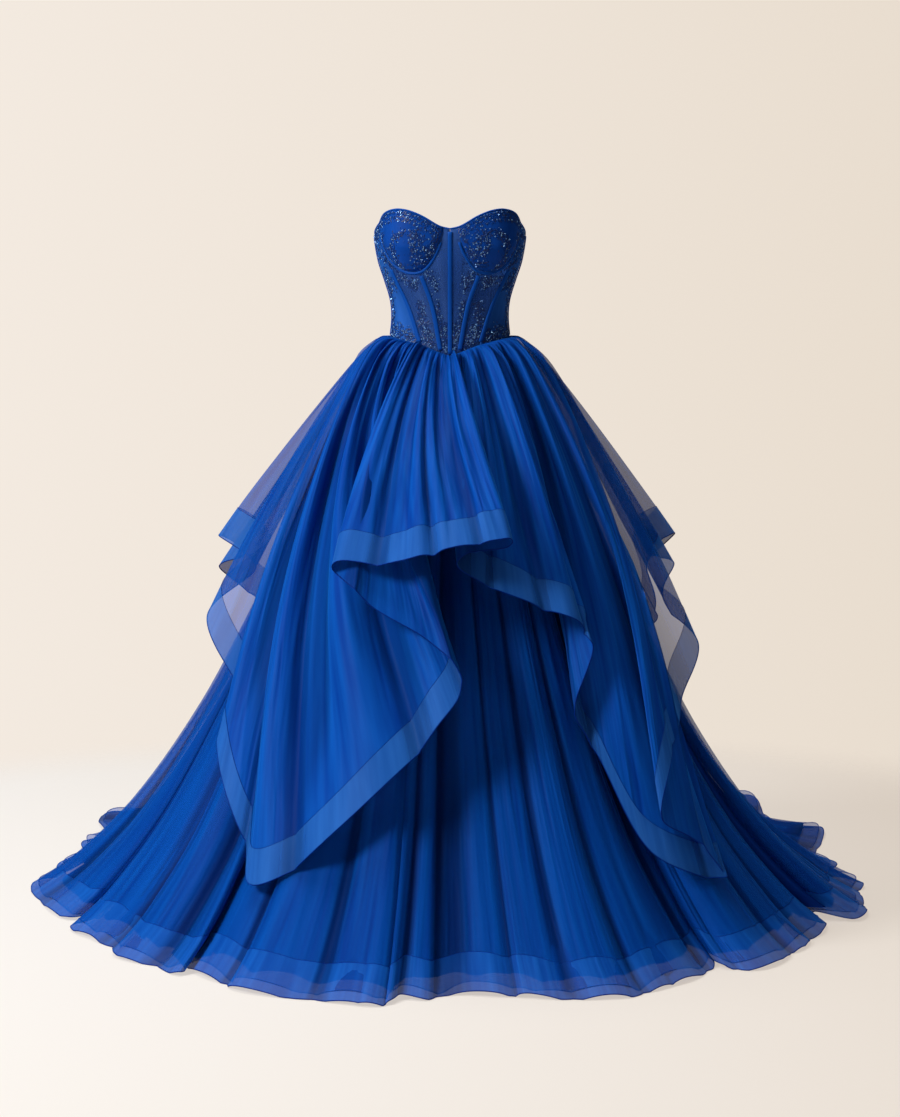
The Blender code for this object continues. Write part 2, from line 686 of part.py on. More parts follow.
def overskirt_point(rows, place, length_share, layer):
    """A point of the fluted overskirt, whose hem turns back on itself at the flutes."""
    seam_angle = ring_read(rows, place, 0)
    hem_angle = ring_read(rows, place, 1)
    reach = ring_read(rows, place, 2)
    drop = ring_read(rows, place, 3)
    top = waist_ring(seam_angle, layer)
    if length_share == 0:
        return top
    start = math.hypot(top.x, top.y)
    down = smooth_read(OVERSKIRT_FALL, length_share, 1)
    out = smooth_read(OVERSKIRT_FALL, length_share, 2)
    angle = mix(seam_angle, hem_angle, 0.5 * (soft_step(length_share) + length_share))
    rise = LAYER_SINK * soft_step(length_share / 0.05) * (1 - length_share)
    return polar_point(angle, mix(start, reach, out), mix(top.z, -drop, down) + rise)


def build_skirt_layer(name, grid, material, collection):
    """A layer that goes all round. Gives its normals, pointing away from the figure."""
    normals = grid_normals(grid, True)
    if normals[0][2].dot(Vector((grid[0][2].x, grid[0][2].y, 0))) < 0:
        normals = [[-normal for normal in column] for column in normals]
    level_rims(normals, (0,))
    mesh = wall_mesh(name, grid, normals, -0.5 * CLOTH, 0.5 * CLOTH, True)
    add_object(name, mesh, material, collection)
    return normals


def build_band(name, grid, normals, first_row, material, collection):
    """A hem band made from the layer's own points, moved out."""
    start = 0.5 * CLOTH + SEAM_GAP
    mesh = wall_mesh(name, grid, normals, start, start + CLOTH, True, first_row)
    add_object(name, mesh, material, collection)


def build_skirts(collection, dense, sheer, banded):
    """The three floor-length layers, from the inside out, and the hem band of the outermost."""
    troughs = fold_rows(SKIRT_FOLDS, UNDERSKIRT_SHORTER)[1::2]
    plan = [
        ("underskirt", troughs, OUTER_LAYER - 2, UNDERSKIRT_LIFT, dense),
        ("skirt_inner", fold_rows(SKIRT_FOLDS, INNER_SHORTER), OUTER_LAYER - 1, INNER_LIFT, sheer),
        ("skirt_outer", fold_rows(SKIRT_FOLDS, 0.0), OUTER_LAYER, OUTER_LIFT, sheer),
    ]
    for name, rows, layer, lift, material in plan:

        def point_at(ring, place, share, layer=layer, lift=lift):
            return skirt_point(ring, place, share, layer, lift)

        grid = layer_grid(point_at, rows, len(rows), SKIRT_ROWS, HEM_BAND)
        normals = build_skirt_layer(name, grid, material, collection)
    build_band("skirt_hem_band", grid, normals, len(SKIRT_ROWS), banded, collection)


def build_overskirt(collection, sheer, banded):
    """The fluted overskirt and its hem band."""

    def point_at(ring, place, share):
        return overskirt_point(ring, place, share, OUTER_LAYER + 1)

    grid = layer_grid(point_at, OVERSKIRT_HEM, 2 * len(OVERSKIRT_HEM), OVERSKIRT_ROWS, OVERSKIRT_BAND)
    normals = build_skirt_layer("overskirt", grid, sheer, collection)
    build_band("overskirt_hem_band", grid, normals, len(OVERSKIRT_ROWS), banded, collection)


# ---------------------------------------------------------------- the whole gown
def clear_scene():
    """Removes whatever is in the scene."""
    for old in list(bpy.data.objects):
        bpy.data.objects.remove(old)


def main():
    """Builds the gown, from the bodice down."""
    clear_scene()
    gown = bpy.data.collections.new("ball_gown")
    cutters = bpy.data.collections.new("cutters")
    cutters.hide_render = True
    for group in (gown, cutters):
        bpy.context.scene.collection.children.link(group)

    panel = new_material("bodice_cloth", BLUE_BODICE, 0.55)
    net = new_material("bodice_net", BLUE_MESH, 0.60)
    dense = new_material("underskirt_cloth", BLUE_DENSE, 0.55)
    sheer = new_material("organza", BLUE_SHEER, 0.45)
    banded = new_material("organza_band", BLUE_BAND, 0.45)
    satin = new_material("satin_trim", BLUE_BODICE, 0.35)
    metal = new_material("painted_zip", ZIP_METAL, 0.35, 0.6)

    build_panels(gown, net, panel)
    build_cups(gown, panel)
    build_bones(gown, satin)
    build_underwires(gown, satin)
    build_binding(gown, satin)
    build_zip_tape(gown, satin)
    pin = build_slider(gown, cutters, metal)
    build_tab(gown, metal, pin)
    build_skirts(gown, dense, sheer, banded)
    build_overskirt(gown, sheer, banded)


main()
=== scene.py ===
"""Looks of the strapless ball gown: cloth, boning, beadwork, zip, light and camera.

Metres, +Z up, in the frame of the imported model. The front faces -Y. Angles are in degrees round +Z:
0 is the centre front, 90 is +X and 180 is the centre back.
"""

import math
import random

import bmesh
import bpy
import numpy as np
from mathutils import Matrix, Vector


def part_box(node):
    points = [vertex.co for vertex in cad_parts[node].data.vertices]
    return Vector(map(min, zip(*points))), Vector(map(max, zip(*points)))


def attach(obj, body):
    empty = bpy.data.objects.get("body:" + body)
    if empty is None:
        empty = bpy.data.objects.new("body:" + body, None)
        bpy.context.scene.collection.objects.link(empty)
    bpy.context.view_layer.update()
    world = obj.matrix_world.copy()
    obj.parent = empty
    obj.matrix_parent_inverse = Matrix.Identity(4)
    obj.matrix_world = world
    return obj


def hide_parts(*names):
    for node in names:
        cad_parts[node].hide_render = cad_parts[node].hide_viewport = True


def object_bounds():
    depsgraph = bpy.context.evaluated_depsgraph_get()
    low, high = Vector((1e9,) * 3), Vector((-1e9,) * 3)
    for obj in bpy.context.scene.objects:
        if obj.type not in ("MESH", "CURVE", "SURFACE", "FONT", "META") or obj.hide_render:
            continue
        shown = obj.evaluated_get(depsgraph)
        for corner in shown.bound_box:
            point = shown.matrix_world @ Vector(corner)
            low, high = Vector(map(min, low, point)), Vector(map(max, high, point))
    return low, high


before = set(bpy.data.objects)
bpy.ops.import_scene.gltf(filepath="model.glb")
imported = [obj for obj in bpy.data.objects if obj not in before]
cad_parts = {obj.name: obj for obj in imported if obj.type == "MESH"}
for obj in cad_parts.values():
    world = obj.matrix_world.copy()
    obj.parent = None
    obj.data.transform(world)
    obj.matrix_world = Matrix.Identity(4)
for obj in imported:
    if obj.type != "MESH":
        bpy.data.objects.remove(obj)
cad_low, cad_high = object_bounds()

# ---------------------------------------------------------------- sizes, in metres
FLOOR = cad_low.z
DENSE_WALL = 0.0008
BODICE_WALL = 0.0015
CASING_WIDTH = 0.0060
CASING_START = 0.0004
CASING_HEIGHT = 0.0032
TRIM_GAP = 0.0005
BONE_WIDTH = 0.0085
BONE_START = 0.0016
BONE_HEIGHT = 0.0024
BINDING_RADIUS = 0.0016
CUP_BULGE = 0.026
SEAM_GAP = 0.0003
ZIP_OPENING = 0.0090
PANEL_ROWS = 28
PANEL_WALL = 0.0010
CUP_WALL = 0.0012
TAPE_WALL = 0.0009
WAIST_HALF_WIDTH = 0.115
NECK_BACK_DEPTH = 0.090
TAPE_DEPTH = 0.080
TAPE_SINK = 0.0013
TOOTH_PITCH = 0.0017
TOOTH_SINK = 0.0006
TOOTH_AWAY = 0.0010
TOOTH_SIZE = (0.0010, 0.0026, 0.0012)
VINE_RADIUS = 0.00045
VINE_LIFT = 0.0003
BEAD_EDGE_GAP = 0.0022

LAYER_STEP = 0.0020
LAYER_SINK = 0.0035
SEAM_LAP = 0.0010
UNDERSKIRT_DROP = 0.0035
OUTER_LAYER = 2.5
HEM_BAND = 0.080
OVERSKIRT_BAND = 0.066
BAND_ROWS = 7
SKIRT_LENGTH = 1.25
OVERSKIRT_LENGTH = 1.0
EDGE_RADIUS = 0.0011
BAND_STEP = 0.0008
SEAM_RADIUS = 0.0004
GATHER_RUN = 1.15
FLOOR_GAP = 0.0012

# how dense the overskirt is in front and at the sides, and the angles between the two
FRONT_COVER = 0.84
SIDE_COVER = 0.60
FRONT_REACH = 50
COVER_FADE = 30

# height of the threads in the cloth's relief
THREAD_RELIEF = 0.012

# height, half width, front depth, back depth
BODY_SECTIONS = [
    (-0.050, 0.1200, 0.0930, 0.0840),
    (0.000, 0.1150, 0.0880, 0.0800),
    (0.040, 0.1116, 0.0870, 0.0780),
    (0.073, 0.1144, 0.0890, 0.0790),
    (0.112, 0.1260, 0.0960, 0.0830),
    (0.149, 0.1380, 0.1030, 0.0880),
    (0.200, 0.1460, 0.1060, 0.0920),
    (0.255, 0.1470, 0.1040, 0.0930),
]

# angle from the centre front, height of the neckline
NECKLINE = [(0, 0.206), (8, 0.2115), (20, 0.230), (30, 0.2405), (40, 0.244), (54, 0.237),
            (70, 0.217), (90, 0.201), (120, 0.197), (180, 0.196)]

# angle from the centre front, height of the waist seam
WAIST_SEAM = [(0, -0.036), (8, -0.032), (27, -0.019), (45, -0.010), (65, -0.003), (90, 0.000),
              (180, 0.000)]

# angle from the centre front, height of the lower edge of a cup
CUP_EDGE = [(5, 0.2035), (7.5, 0.187), (13, 0.158), (21, 0.135), (30, 0.1265), (40, 0.1285),
            (50, 0.140), (58, 0.159), (64, 0.184), (68, 0.213)]

# height, angle of the seam
INNER_SEAM = [(-0.045, 7.0), (0.050, 16.5), (0.135, 27.0), (0.210, 30.0)]
OUTER_SEAM = [(-0.030, 26.0), (0.000, 32.0), (0.040, 41.0), (0.100, 54.0), (0.150, 60.0),
              (0.210, 62.0)]

# share of the length, share of the drop, share of the reach
HANGING = [(0.00, 0.000, 0.000), (0.05, 0.012, 0.032), (0.12, 0.055, 0.078), (0.25, 0.180, 0.172),
           (0.40, 0.330, 0.284), (0.55, 0.480, 0.402), (0.70, 0.640, 0.540), (0.85, 0.820, 0.720),
           (0.95, 0.950, 0.900), (1.00, 1.000, 1.000)]
TRAILING = [(0.00, 0.000, 0.000), (0.05, 0.014, 0.020), (0.12, 0.070, 0.050), (0.25, 0.220, 0.115),
            (0.40, 0.430, 0.210), (0.55, 0.650, 0.320), (0.70, 0.860, 0.450), (0.85, 0.975, 0.690),
            (0.95, 0.997, 0.900), (1.00, 1.000, 1.000)]
OVERSKIRT_FALL = [(0.00, 0.000, 0.000), (0.03, 0.002, 0.032), (0.06, 0.018, 0.070), (0.15, 0.085, 0.160),
                  (0.30, 0.240, 0.320), (0.50, 0.460, 0.528), (0.75, 0.730, 0.770), (1.00, 1.000, 1.000)]
# angle round the skirt, share of the trailing fall
TRAIN = [(-180, 1.0), (-145, 1.0), (-128, 0.60), (-112, 0.27), (-90, 0.05), (-60, 0.0), (0, 0.0),
         (60, 0.04), (80, 0.16), (96, 0.30), (112, 0.42), (128, 0.68), (145, 1.0), (180, 1.0)]

# angle at the waist seam, angle at the hem, reach of the hem
SKIRT_HEM = [
    (-171, -171, 1.300), (-165, -164, 1.225), (-158, -158, 1.300), (-152, -151, 1.235),
    (-146, -147, 1.290), (-141, -140, 1.165), (-136, -136, 1.180), (-130, -129, 0.995),
    (-124, -124, 0.985), (-118, -117, 0.890), (-111, -111, 0.900), (-105, -104, 0.853),
    (-99, -98, 0.870), (-94, -88, 0.816), (-89, -79, 0.760), (-85, -81, 0.708), (-81, -74, 0.763),
    (-76, -66, 0.741), (-71, -59, 0.740), (-66, -54.4, 0.750), (-61, -47.5, 0.741), (-56, -41, 0.740),
    (-51, -44, 0.690), (-46, -50, 0.668), (-41, -43, 0.700), (-36, -35, 0.730), (-31, -29.7, 0.757),
    (-25, -20.5, 0.765), (-19, -14, 0.766), (-13, -8.2, 0.769), (-9, -7.0, 0.718), (-5, -3.0, 0.725),
    (0, 1.5, 0.688), (6, 8.4, 0.709), (11, 11, 0.718), (16, 16, 0.752), (21, 21, 0.763),
    (26, 25.5, 0.769), (31, 32, 0.740), (37, 42.5, 0.710), (42, 46, 0.656), (46, 43.5, 0.718),
    (51, 47, 0.766), (57, 56, 0.759), (64, 66, 0.753), (71, 75.5, 0.753), (76, 80.5, 0.718),
    (80, 79, 0.808), (86, 87, 0.833), (93, 94, 0.833), (99, 100, 0.864), (105, 107, 0.820),
    (111, 111, 0.885), (117, 117, 0.890), (124, 124, 1.000), (130, 130, 1.100), (134, 135, 1.060),
    (140, 140, 1.150), (146, 146, 1.300), (152, 151, 1.235), (158, 158, 1.320), (165, 165, 1.255),
    (172, 172, 1.330), (180, 180, 1.250),
]

# angle at the waist seam, angle at the hem, reach of the hem, drop of the hem below the waist
OVERSKIRT_HEM = [
    (-170, -170, 0.640, 0.850), (-155, -156, 0.585, 0.760), (-140, -141, 0.590, 0.660),
    (-124, -126, 0.490, 0.560), (-112, -110, 0.505, 0.470), (-106, -101, 0.425, 0.430),
    (-100, -92, 0.458, 0.394), (-94, -82, 0.390, 0.450), (-89, -74, 0.487, 0.540),
    (-84, -58, 0.462, 0.684), (-79, -53, 0.540, 0.756), (-72, -40, 0.592, 0.912),
    (-64, -34, 0.622, 0.977), (-57, -19, 0.605, 0.859), (-50, -4, 0.545, 0.700),
    (-45, 2, 0.520, 0.615), (-40, -5, 0.488, 0.535), (-35, -19, 0.476, 0.470),
    (-30, -25, 0.472, 0.409), (-18, -9, 0.482, 0.390), (-5, 4, 0.474, 0.360),
    (3, 12.5, 0.455, 0.364), (9, 3, 0.425, 0.405), (18, 12, 0.428, 0.452),
    (30, 27, 0.446, 0.500), (38, 35, 0.462, 0.550), (43, 29, 0.470, 0.670),
    (48, 33, 0.492, 0.735), (53, 38, 0.592, 0.925), (60, 51, 0.655, 0.985),
    (65, 44, 0.626, 0.905), (69, 38, 0.620, 0.850), (74, 45.5, 0.585, 0.747),
    (79, 60, 0.508, 0.680), (84, 73, 0.500, 0.585), (89, 81, 0.425, 0.500),
    (94, 88, 0.442, 0.440), (98, 94, 0.392, 0.425), (103, 101, 0.462, 0.395),
    (112, 111, 0.430, 0.470), (124, 124, 0.530, 0.590), (140, 140, 0.540, 0.680),
    (155, 156, 0.620, 0.790), (172, 174, 0.610, 0.850),
]


# ---------------------------------------------------------------- reading the tables
def smooth_read(table, value, column=1):
    """Reads a column of a table at a value or at many, with a smooth curve through its rows."""
    places = np.array([row[0] for row in table], float)
    levels = np.array([row[column] for row in table], float)
    value = np.clip(value, places[0], places[-1])
    upper = np.clip(np.searchsorted(places, value), 1, len(table) - 1)
    low = upper - 1
    before = np.maximum(low - 1, 0)
    after = np.minimum(upper + 1, len(table) - 1)
    span = places[upper] - places[low]
    share = (value - places[low]) / span
    slope_low = (levels[upper] - levels[before]) / (places[upper] - places[before]) * span
    slope_high = (levels[after] - levels[low]) / (places[after] - places[low]) * span
    rise = levels[upper] - levels[low]
    slope_low = np.where(slope_low * rise < 0, 0.0, slope_low)
    slope_high = np.where(slope_high * rise < 0, 0.0, slope_high)
    s2, s3 = share ** 2, share ** 3
    return ((2 * s3 - 3 * s2 + 1) * levels[low] + (s3 - 2 * s2 + share) * slope_low
            + (3 * s2 - 2 * s3) * levels[upper] + (s3 - s2) * slope_high)


def ring_read(rows, place, column):
    """Reads a column of a closed ring of rows at places counted in rows, with a smooth curve."""
    count = len(rows)
    levels = np.array([row[column] for row in rows], float)
    index = np.floor(place).astype(int)
    share = place - index

    def level(step):
        turns, row = np.divmod(index + step, count)
        return levels[row] + (360.0 * turns if column < 2 else 0.0)

    p0, p1, p2, p3 = level(-1), level(0), level(1), level(2)
    return 0.5 * (2 * p1 + (p2 - p0) * share + (2 * p0 - 5 * p1 + 4 * p2 - p3) * share ** 2
                  + (3 * p1 - p0 - 3 * p2 + p3) * share ** 3)


def soft_step(value):
    value = np.clip(value, 0.0, 1.0)
    return value * value * (3 - 2 * value)


def mix(a, b, share):
    return a + (b - a) * share


def hump(value, start, full, fade, end):
    """Rises from 0 at start to 1 at full, stays, and falls back to 0 from fade to end."""
    return soft_step((value - start) / (full - start)) * soft_step((end - value) / (end - fade))


# ---------------------------------------------------------------- the figure inside the bodice
def signed_angle(angle):
    """The same angle between -180 and 180."""
    return (np.asarray(angle, float) + 180.0) % 360.0 - 180.0


def folded_angle(angle):
    """The angle from the centre front, 0 to 180, for tables that serve both sides."""
    return np.abs(signed_angle(angle))


def polar_point(angle, distance, height):
    turn = np.radians(angle)
    return np.stack(np.broadcast_arrays(distance * np.sin(turn), -distance * np.cos(turn), height), -1)


def body_point(angle, height, out=0.0):
    """Points of the bodice surface, moved out by a distance along its level direction."""
    half_width = smooth_read(BODY_SECTIONS, height, 1)
    turn = np.radians(angle)
    depth = np.where(np.cos(turn) > 0, smooth_read(BODY_SECTIONS, height, 2),
                     smooth_read(BODY_SECTIONS, height, 3))
    across, ahead = np.sin(turn) / half_width, -np.cos(turn) / depth
    size = np.hypot(across, ahead)
    x = half_width * np.sin(turn) + out * across / size
    y = -depth * np.cos(turn) + out * ahead / size
    return np.stack(np.broadcast_arrays(x, y, height), -1)


def neckline(angle):
    return smooth_read(NECKLINE, folded_angle(angle))


def waist_seam(angle):
    return smooth_read(WAIST_SEAM, folded_angle(angle))


def cup_edge(angle):
    return smooth_read(CUP_EDGE, folded_angle(angle))


def in_cup(angle):
    turned = folded_angle(angle)
    return (turned >= CUP_EDGE[0][0]) & (turned <= CUP_EDGE[-1][0])


def edge_below_cup(distance, steps):
    """Angles and heights of the line that runs a distance below the lower edge of a cup."""
    angle = np.linspace(CUP_EDGE[0][0], CUP_EDGE[-1][0], steps + 1)
    height = cup_edge(angle)
    arm = 0.9 * smooth_read(BODY_SECTIONS, height, 1)
    run = np.radians(np.gradient(angle)) * arm
    rise = np.gradient(height)
    length = np.hypot(run, rise)
    return angle + np.degrees(distance * rise / length / arm), height - distance * run / length


def cup_bulge(angle, height):
    """How far a moulded cup stands out from the figure."""
    first, last = CUP_EDGE[0][0], CUP_EDGE[-1][0]
    across = np.clip((folded_angle(angle) - first) / (last - first), 0, 1)
    low = cup_edge(angle)
    up = np.clip((height - low) / np.maximum(neckline(angle) - low, 1e-6), 0, None)
    side = np.sin(np.pi * across) ** mix(0.75, 1.20, soft_step(2 * across - 1))
    return CUP_BULGE * side * (1.0 - 0.42 * up) * np.minimum(1.0, 2.6 * up) ** 0.8


def bodice_point(angle, height, out=0.0):
    """Points on the outside of the bodice, cups included."""
    on_cup = in_cup(angle) & (height > cup_edge(angle))
    bulge = np.where(on_cup, cup_bulge(angle, height), 0.0)
    return body_point(angle, height, BODICE_WALL + bulge + out)


# ---------------------------------------------------------------- meshes from grids
def unit(vectors):
    return vectors / np.maximum(np.linalg.norm(vectors, axis=-1, keepdims=True), 1e-12)


def mesh_of(name, points, faces):
    mesh = bpy.data.meshes.new(name)
    mesh.from_pydata(points.reshape(-1, 3).tolist(), [], faces)
    return mesh


def join_meshes(name, meshes):
    """One mesh from several, which are used up."""
    joined = bmesh.new()
    for mesh in meshes:
        joined.from_mesh(mesh)
        bpy.data.meshes.remove(mesh)
    mesh = bpy.data.meshes.new(name)
    joined.to_mesh(mesh)
    joined.free()
    return mesh


def grid_faces(columns, rows, closed):
    """Faces of a sheet of columns, which meets itself where it is closed."""
    steps = columns if closed else columns - 1
    i, j = np.meshgrid(np.arange(steps), np.arange(rows - 1), indexing="ij")
    k = (i + 1) % columns
    return np.stack([i * rows + j, i * rows + j + 1, k * rows + j + 1, k * rows + j], -1).reshape(-1, 4)


def finish_piece(name, mesh, material, smooth=True):
    """Makes a mesh a piece of the gown, with its material."""
    mesh.name = name
    mesh.materials.clear()
    mesh.materials.append(material)
    if smooth:
        mesh.shade_smooth()
    piece = bpy.data.objects.new(name, mesh)
    bpy.context.scene.collection.objects.link(piece)
    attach(piece, "gown")
    return piece


def cloth_mesh(name, points, closed, width, length):
    """A single sheet from a grid, with a UV map in metres: across the cloth, and along it."""
    columns, rows = points.shape[:2]
    mesh = mesh_of(name, points, grid_faces(columns, rows, closed).tolist())
    steps = columns if closed else columns - 1
    i, j = np.meshgrid(np.arange(steps), np.arange(rows - 1), indexing="ij")
    corners = [(i, j), (i, j + 1), (i + 1, j + 1), (i + 1, j)]
    across = np.stack([c[0] for c in corners], -1) / steps * width
    along = np.stack([c[1] for c in corners], -1) / (rows - 1) * length
    uv = mesh.uv_layers.new(name="cloth")
    uv.data.foreach_set("uv", np.stack([across, along], -1).astype(np.float32).ravel())
    return mesh


def select_only(piece):
    bpy.ops.object.select_all(action="DESELECT")
    piece.select_set(True)
    bpy.context.view_layer.objects.active = piece


def thicken(piece, wall):
    """Gives a sheet its wall, half on each side."""
    select_only(piece)
    solid = piece.modifiers.new("wall", "SOLIDIFY")
    solid.thickness = wall
    solid.offset = 0.0
    bpy.ops.object.modifier_apply(modifier=solid.name)


def cloth_piece(name, points, closed, size, wall, material, nodes=(), marks=None):
    """A piece of cloth with its wall, or with no wall where it is a single layer of sheer cloth."""
    mesh = cloth_mesh(name, points, closed, *size)
    for label, values in (marks or {}).items():
        mark = mesh.attributes.new(label, "FLOAT", "POINT")
        mark.data.foreach_set("value", np.clip(values, 0, 1).astype(np.float32).ravel())
    piece = finish_piece(name, mesh, material)
    if wall:
        thicken(piece, wall)
    if nodes:
        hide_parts(*nodes)
    return piece


def outward(mesh):
    """Turns the faces of a closed mesh outwards."""
    shape = bmesh.new()
    shape.from_mesh(mesh)
    bmesh.ops.recalc_face_normals(shape, faces=shape.faces)
    shape.to_mesh(mesh)
    shape.free()
    return mesh


def tube_faces(count, sides, closed):
    """Faces that join a row of rings, with a cap at each end where the row is open."""
    steps = count if closed else count - 1
    i, j = np.meshgrid(np.arange(steps), np.arange(sides), indexing="ij")
    k, m = (i + 1) % count, (j + 1) % sides
    faces = np.stack([i * sides + j, k * sides + j, k * sides + m, i * sides + m], -1)
    faces = faces.reshape(-1, 4).tolist()
    if not closed:
        faces.append(list(range(sides)))
        faces.append([(count - 1) * sides + j for j in reversed(range(sides))])
    return faces


def tube_mesh(name, line, sideways, radius, sides, closed):
    """A tube along a line of points; sideways gives a direction across the line at each point."""
    line = np.asarray(line, float)
    along = np.roll(line, -1, 0) - np.roll(line, 1, 0) if closed else np.gradient(line, axis=0)
    along = unit(along)
    across = unit(sideways - along * (sideways * along).sum(-1, keepdims=True))
    other = np.cross(along, across)
    turn = np.linspace(0, math.tau, sides, endpoint=False)
    ring = across[:, None] * np.cos(turn)[None, :, None] + other[:, None] * np.sin(turn)[None, :, None]
    points = line[:, None] + ring * radius
    return outward(mesh_of(name, points, tube_faces(len(line), sides, closed)))


# ---------------------------------------------------------------- finishes
def nodes_of(material):
    return material.node_tree.nodes, material.node_tree.links


def new_finish(name, colour, roughness, **inputs):
    material = bpy.data.materials.new(name)
    material.use_nodes = True
    shader = material.node_tree.nodes["Principled BSDF"]
    shader.inputs["Base Color"].default_value = (*colour, 1.0)
    shader.inputs["Roughness"].default_value = roughness
    for socket, value in inputs.items():
        shader.inputs[socket.replace("_", " ")].default_value = value
    return material


def add_node(material, kind, **settings):
    node = material.node_tree.nodes.new(kind)
    for key, value in settings.items():
        if key in node.inputs:
            node.inputs[key].default_value = value
        else:
            setattr(node, key, value)
    return node


def noise_on(material, place, scale, **settings):
    """Noise laid over the cloth, with so many marks a metre across it and along it."""
    _, links = nodes_of(material)
    spread = add_node(material, "ShaderNodeMapping", Scale=(*scale, 1.0))
    links.new(place, spread.inputs["Vector"])
    noise = add_node(material, "ShaderNodeTexNoise", Scale=1.0, **settings)
    links.new(spread.outputs["Vector"], noise.inputs["Vector"])
    return noise.outputs["Fac"]


def worked_out(material, operation, *values):
    """The result of one operation on sockets and plain numbers."""
    _, links = nodes_of(material)
    node = add_node(material, "ShaderNodeMath", operation=operation)
    for socket, value in zip(node.inputs, values):
        if isinstance(value, float):
            socket.default_value = value
        else:
            links.new(value, socket)
    return node.outputs[0]


def as_share(material, value, low, high, top=1.0, **settings):
    """How far a value lies between low and high, up to top."""
    _, links = nodes_of(material)
    node = add_node(material, "ShaderNodeMapRange", **settings)
    node.inputs["From Min"].default_value = low
    node.inputs["From Max"].default_value = high
    node.inputs["To Max"].default_value = top
    links.new(value, node.inputs["Value"])
    return node.outputs["Result"]


def dyed(material, share, second, first):
    """A colour between the first, a colour or a socket, and the second, a colour."""
    _, links = nodes_of(material)
    node = add_node(material, "ShaderNodeMix", data_type="RGBA")
    node.inputs["B"].default_value = (*second, 1.0)
    if isinstance(first, tuple):
        node.inputs["A"].default_value = (*first, 1.0)
    else:
        links.new(first, node.inputs["A"])
    links.new(share, node.inputs["Factor"])
    return node.outputs["Result"]


def cloth_finish(name, deep, light, alpha, roughness, sheen, weave, streak, bump, wrinkle=0.0, fold_shade=0.0):
    """Woven cloth with threads both ways, streaks of slub and long soft wrinkles.

    weave and streak say how fine the threads and the streaks are, wrinkle is the height of the wrinkles,
    and the last one is how much painted shade darkens the cloth's colour inside its folds.
    """
    material = new_finish(name, light, roughness, Sheen_Weight=sheen, Sheen_Roughness=0.35,
                          Sheen_Tint=(0.02, 0.36, 1.0, 1.0), Specular_IOR_Level=0.03, Alpha=alpha)
    nodes, links = nodes_of(material)
    shader = nodes["Principled BSDF"]
    place = add_node(material, "ShaderNodeUVMap", uv_map="cloth").outputs["UV"]
    slub = noise_on(material, place, (streak, streak * 0.07), Detail=2.5, Roughness=0.5)
    soft = noise_on(material, place, (24.0, 2.6), Detail=2.0, Roughness=0.4, Distortion=0.6)
    uneven = worked_out(material, "ADD", slub, soft)
    colour = dyed(material, as_share(material, uneven, 0.74, 1.26), light, deep)
    # painted shade: where the fold mark says the cloth lies in a trough, its colour is darkened
    fold = add_node(material, "ShaderNodeAttribute", attribute_name="fold").outputs["Fac"]
    shade = as_share(material, fold, 0.35, 0.95, fold_shade, interpolation_type="SMOOTHSTEP")
    # the colour of the painted shade in the deepest troughs of the folds
    inside = (0.15 * deep[0], 0.15 * deep[1], 0.22 * deep[2])
    links.new(dyed(material, shade, inside, colour), shader.inputs["Base Color"])
    threads = []
    for direction in ("X", "Y"):
        thread = add_node(material, "ShaderNodeTexWave", bands_direction=direction, Scale=weave,
                          Distortion=0.6)
        links.new(place, thread.inputs["Vector"])
        threads.append(thread.outputs["Fac"])
    woven = worked_out(material, "MAXIMUM", *threads)
    raised = worked_out(material, "MULTIPLY_ADD", woven, THREAD_RELIEF, uneven)
    wrinkled = worked_out(material, "MULTIPLY_ADD", soft, wrinkle, raised)
    relief = add_node(material, "ShaderNodeBump", Strength=bump, Distance=0.002)
    links.new(wrinkled, relief.inputs["Height"])
    links.new(relief.outputs["Normal"], shader.inputs["Normal"])
    return material


# each cloth: its deep and its light colour, opacity, roughness, sheen, threads, streaks, relief,
# wrinkles, strength of the painted shade inside its folds
organza = cloth_finish("organza", (0.0010, 0.048, 0.34), (0.0022, 0.102, 0.53),
                       0.56, 0.48, 0.25, 900, 60, 0.60, 5.5, 0.78)
overskirt_cloth = cloth_finish("overskirt_cloth", (0.0014, 0.048, 0.34), (0.0040, 0.104, 0.52),
                               0.56, 0.48, 0.25, 900, 60, 0.60, 5.5, 0.48)
organza_inner = cloth_finish("organza_inner", (0.0006, 0.044, 0.32), (0.0015, 0.084, 0.48),
                             0.59, 0.48, 0.20, 900, 55, 0.60, 4.0, 0.80)
organza_band = cloth_finish("organza_band", (0.0160, 0.118, 0.48), (0.0300, 0.178, 0.64),
                            0.62, 0.42, 0.30, 900, 70, 0.40, 2.0, 0.45)
skirt_band_cloth = cloth_finish("skirt_band_cloth", (0.0030, 0.066, 0.38), (0.0075, 0.112, 0.52),
                                0.80, 0.45, 0.25, 900, 70, 0.45, 2.5, 0.60)
underskirt_cloth = cloth_finish("underskirt_cloth", (0.0004, 0.020, 0.17), (0.0008, 0.038, 0.29),
                                1.0, 0.60, 0.10, 700, 40, 0.50, 3.0, 0.85)
bodice_cloth = cloth_finish("bodice_cloth", (0.012, 0.088, 0.38), (0.024, 0.128, 0.52),
                            1.0, 0.45, 0.30, 1200, 30, 0.12)
cup_cloth = cloth_finish("cup_cloth", (0.003, 0.046, 0.28), (0.006, 0.070, 0.40),
                         1.0, 0.42, 0.25, 1200, 30, 0.10)
bodice_net = cloth_finish("bodice_net", (0.026, 0.085, 0.32), (0.045, 0.120, 0.40),
                          0.58, 0.55, 0.25, 1400, 24, 0.02)
satin_trim = cloth_finish("satin_trim", (0.003, 0.058, 0.33), (0.008, 0.092, 0.46),
                          1.0, 0.34, 0.25, 1600, 30, 0.08)
edge_thread = cloth_finish("edge_thread", (0.001, 0.016, 0.16), (0.002, 0.030, 0.26),
                           1.0, 0.50, 0.10, 2000, 80, 0.10)


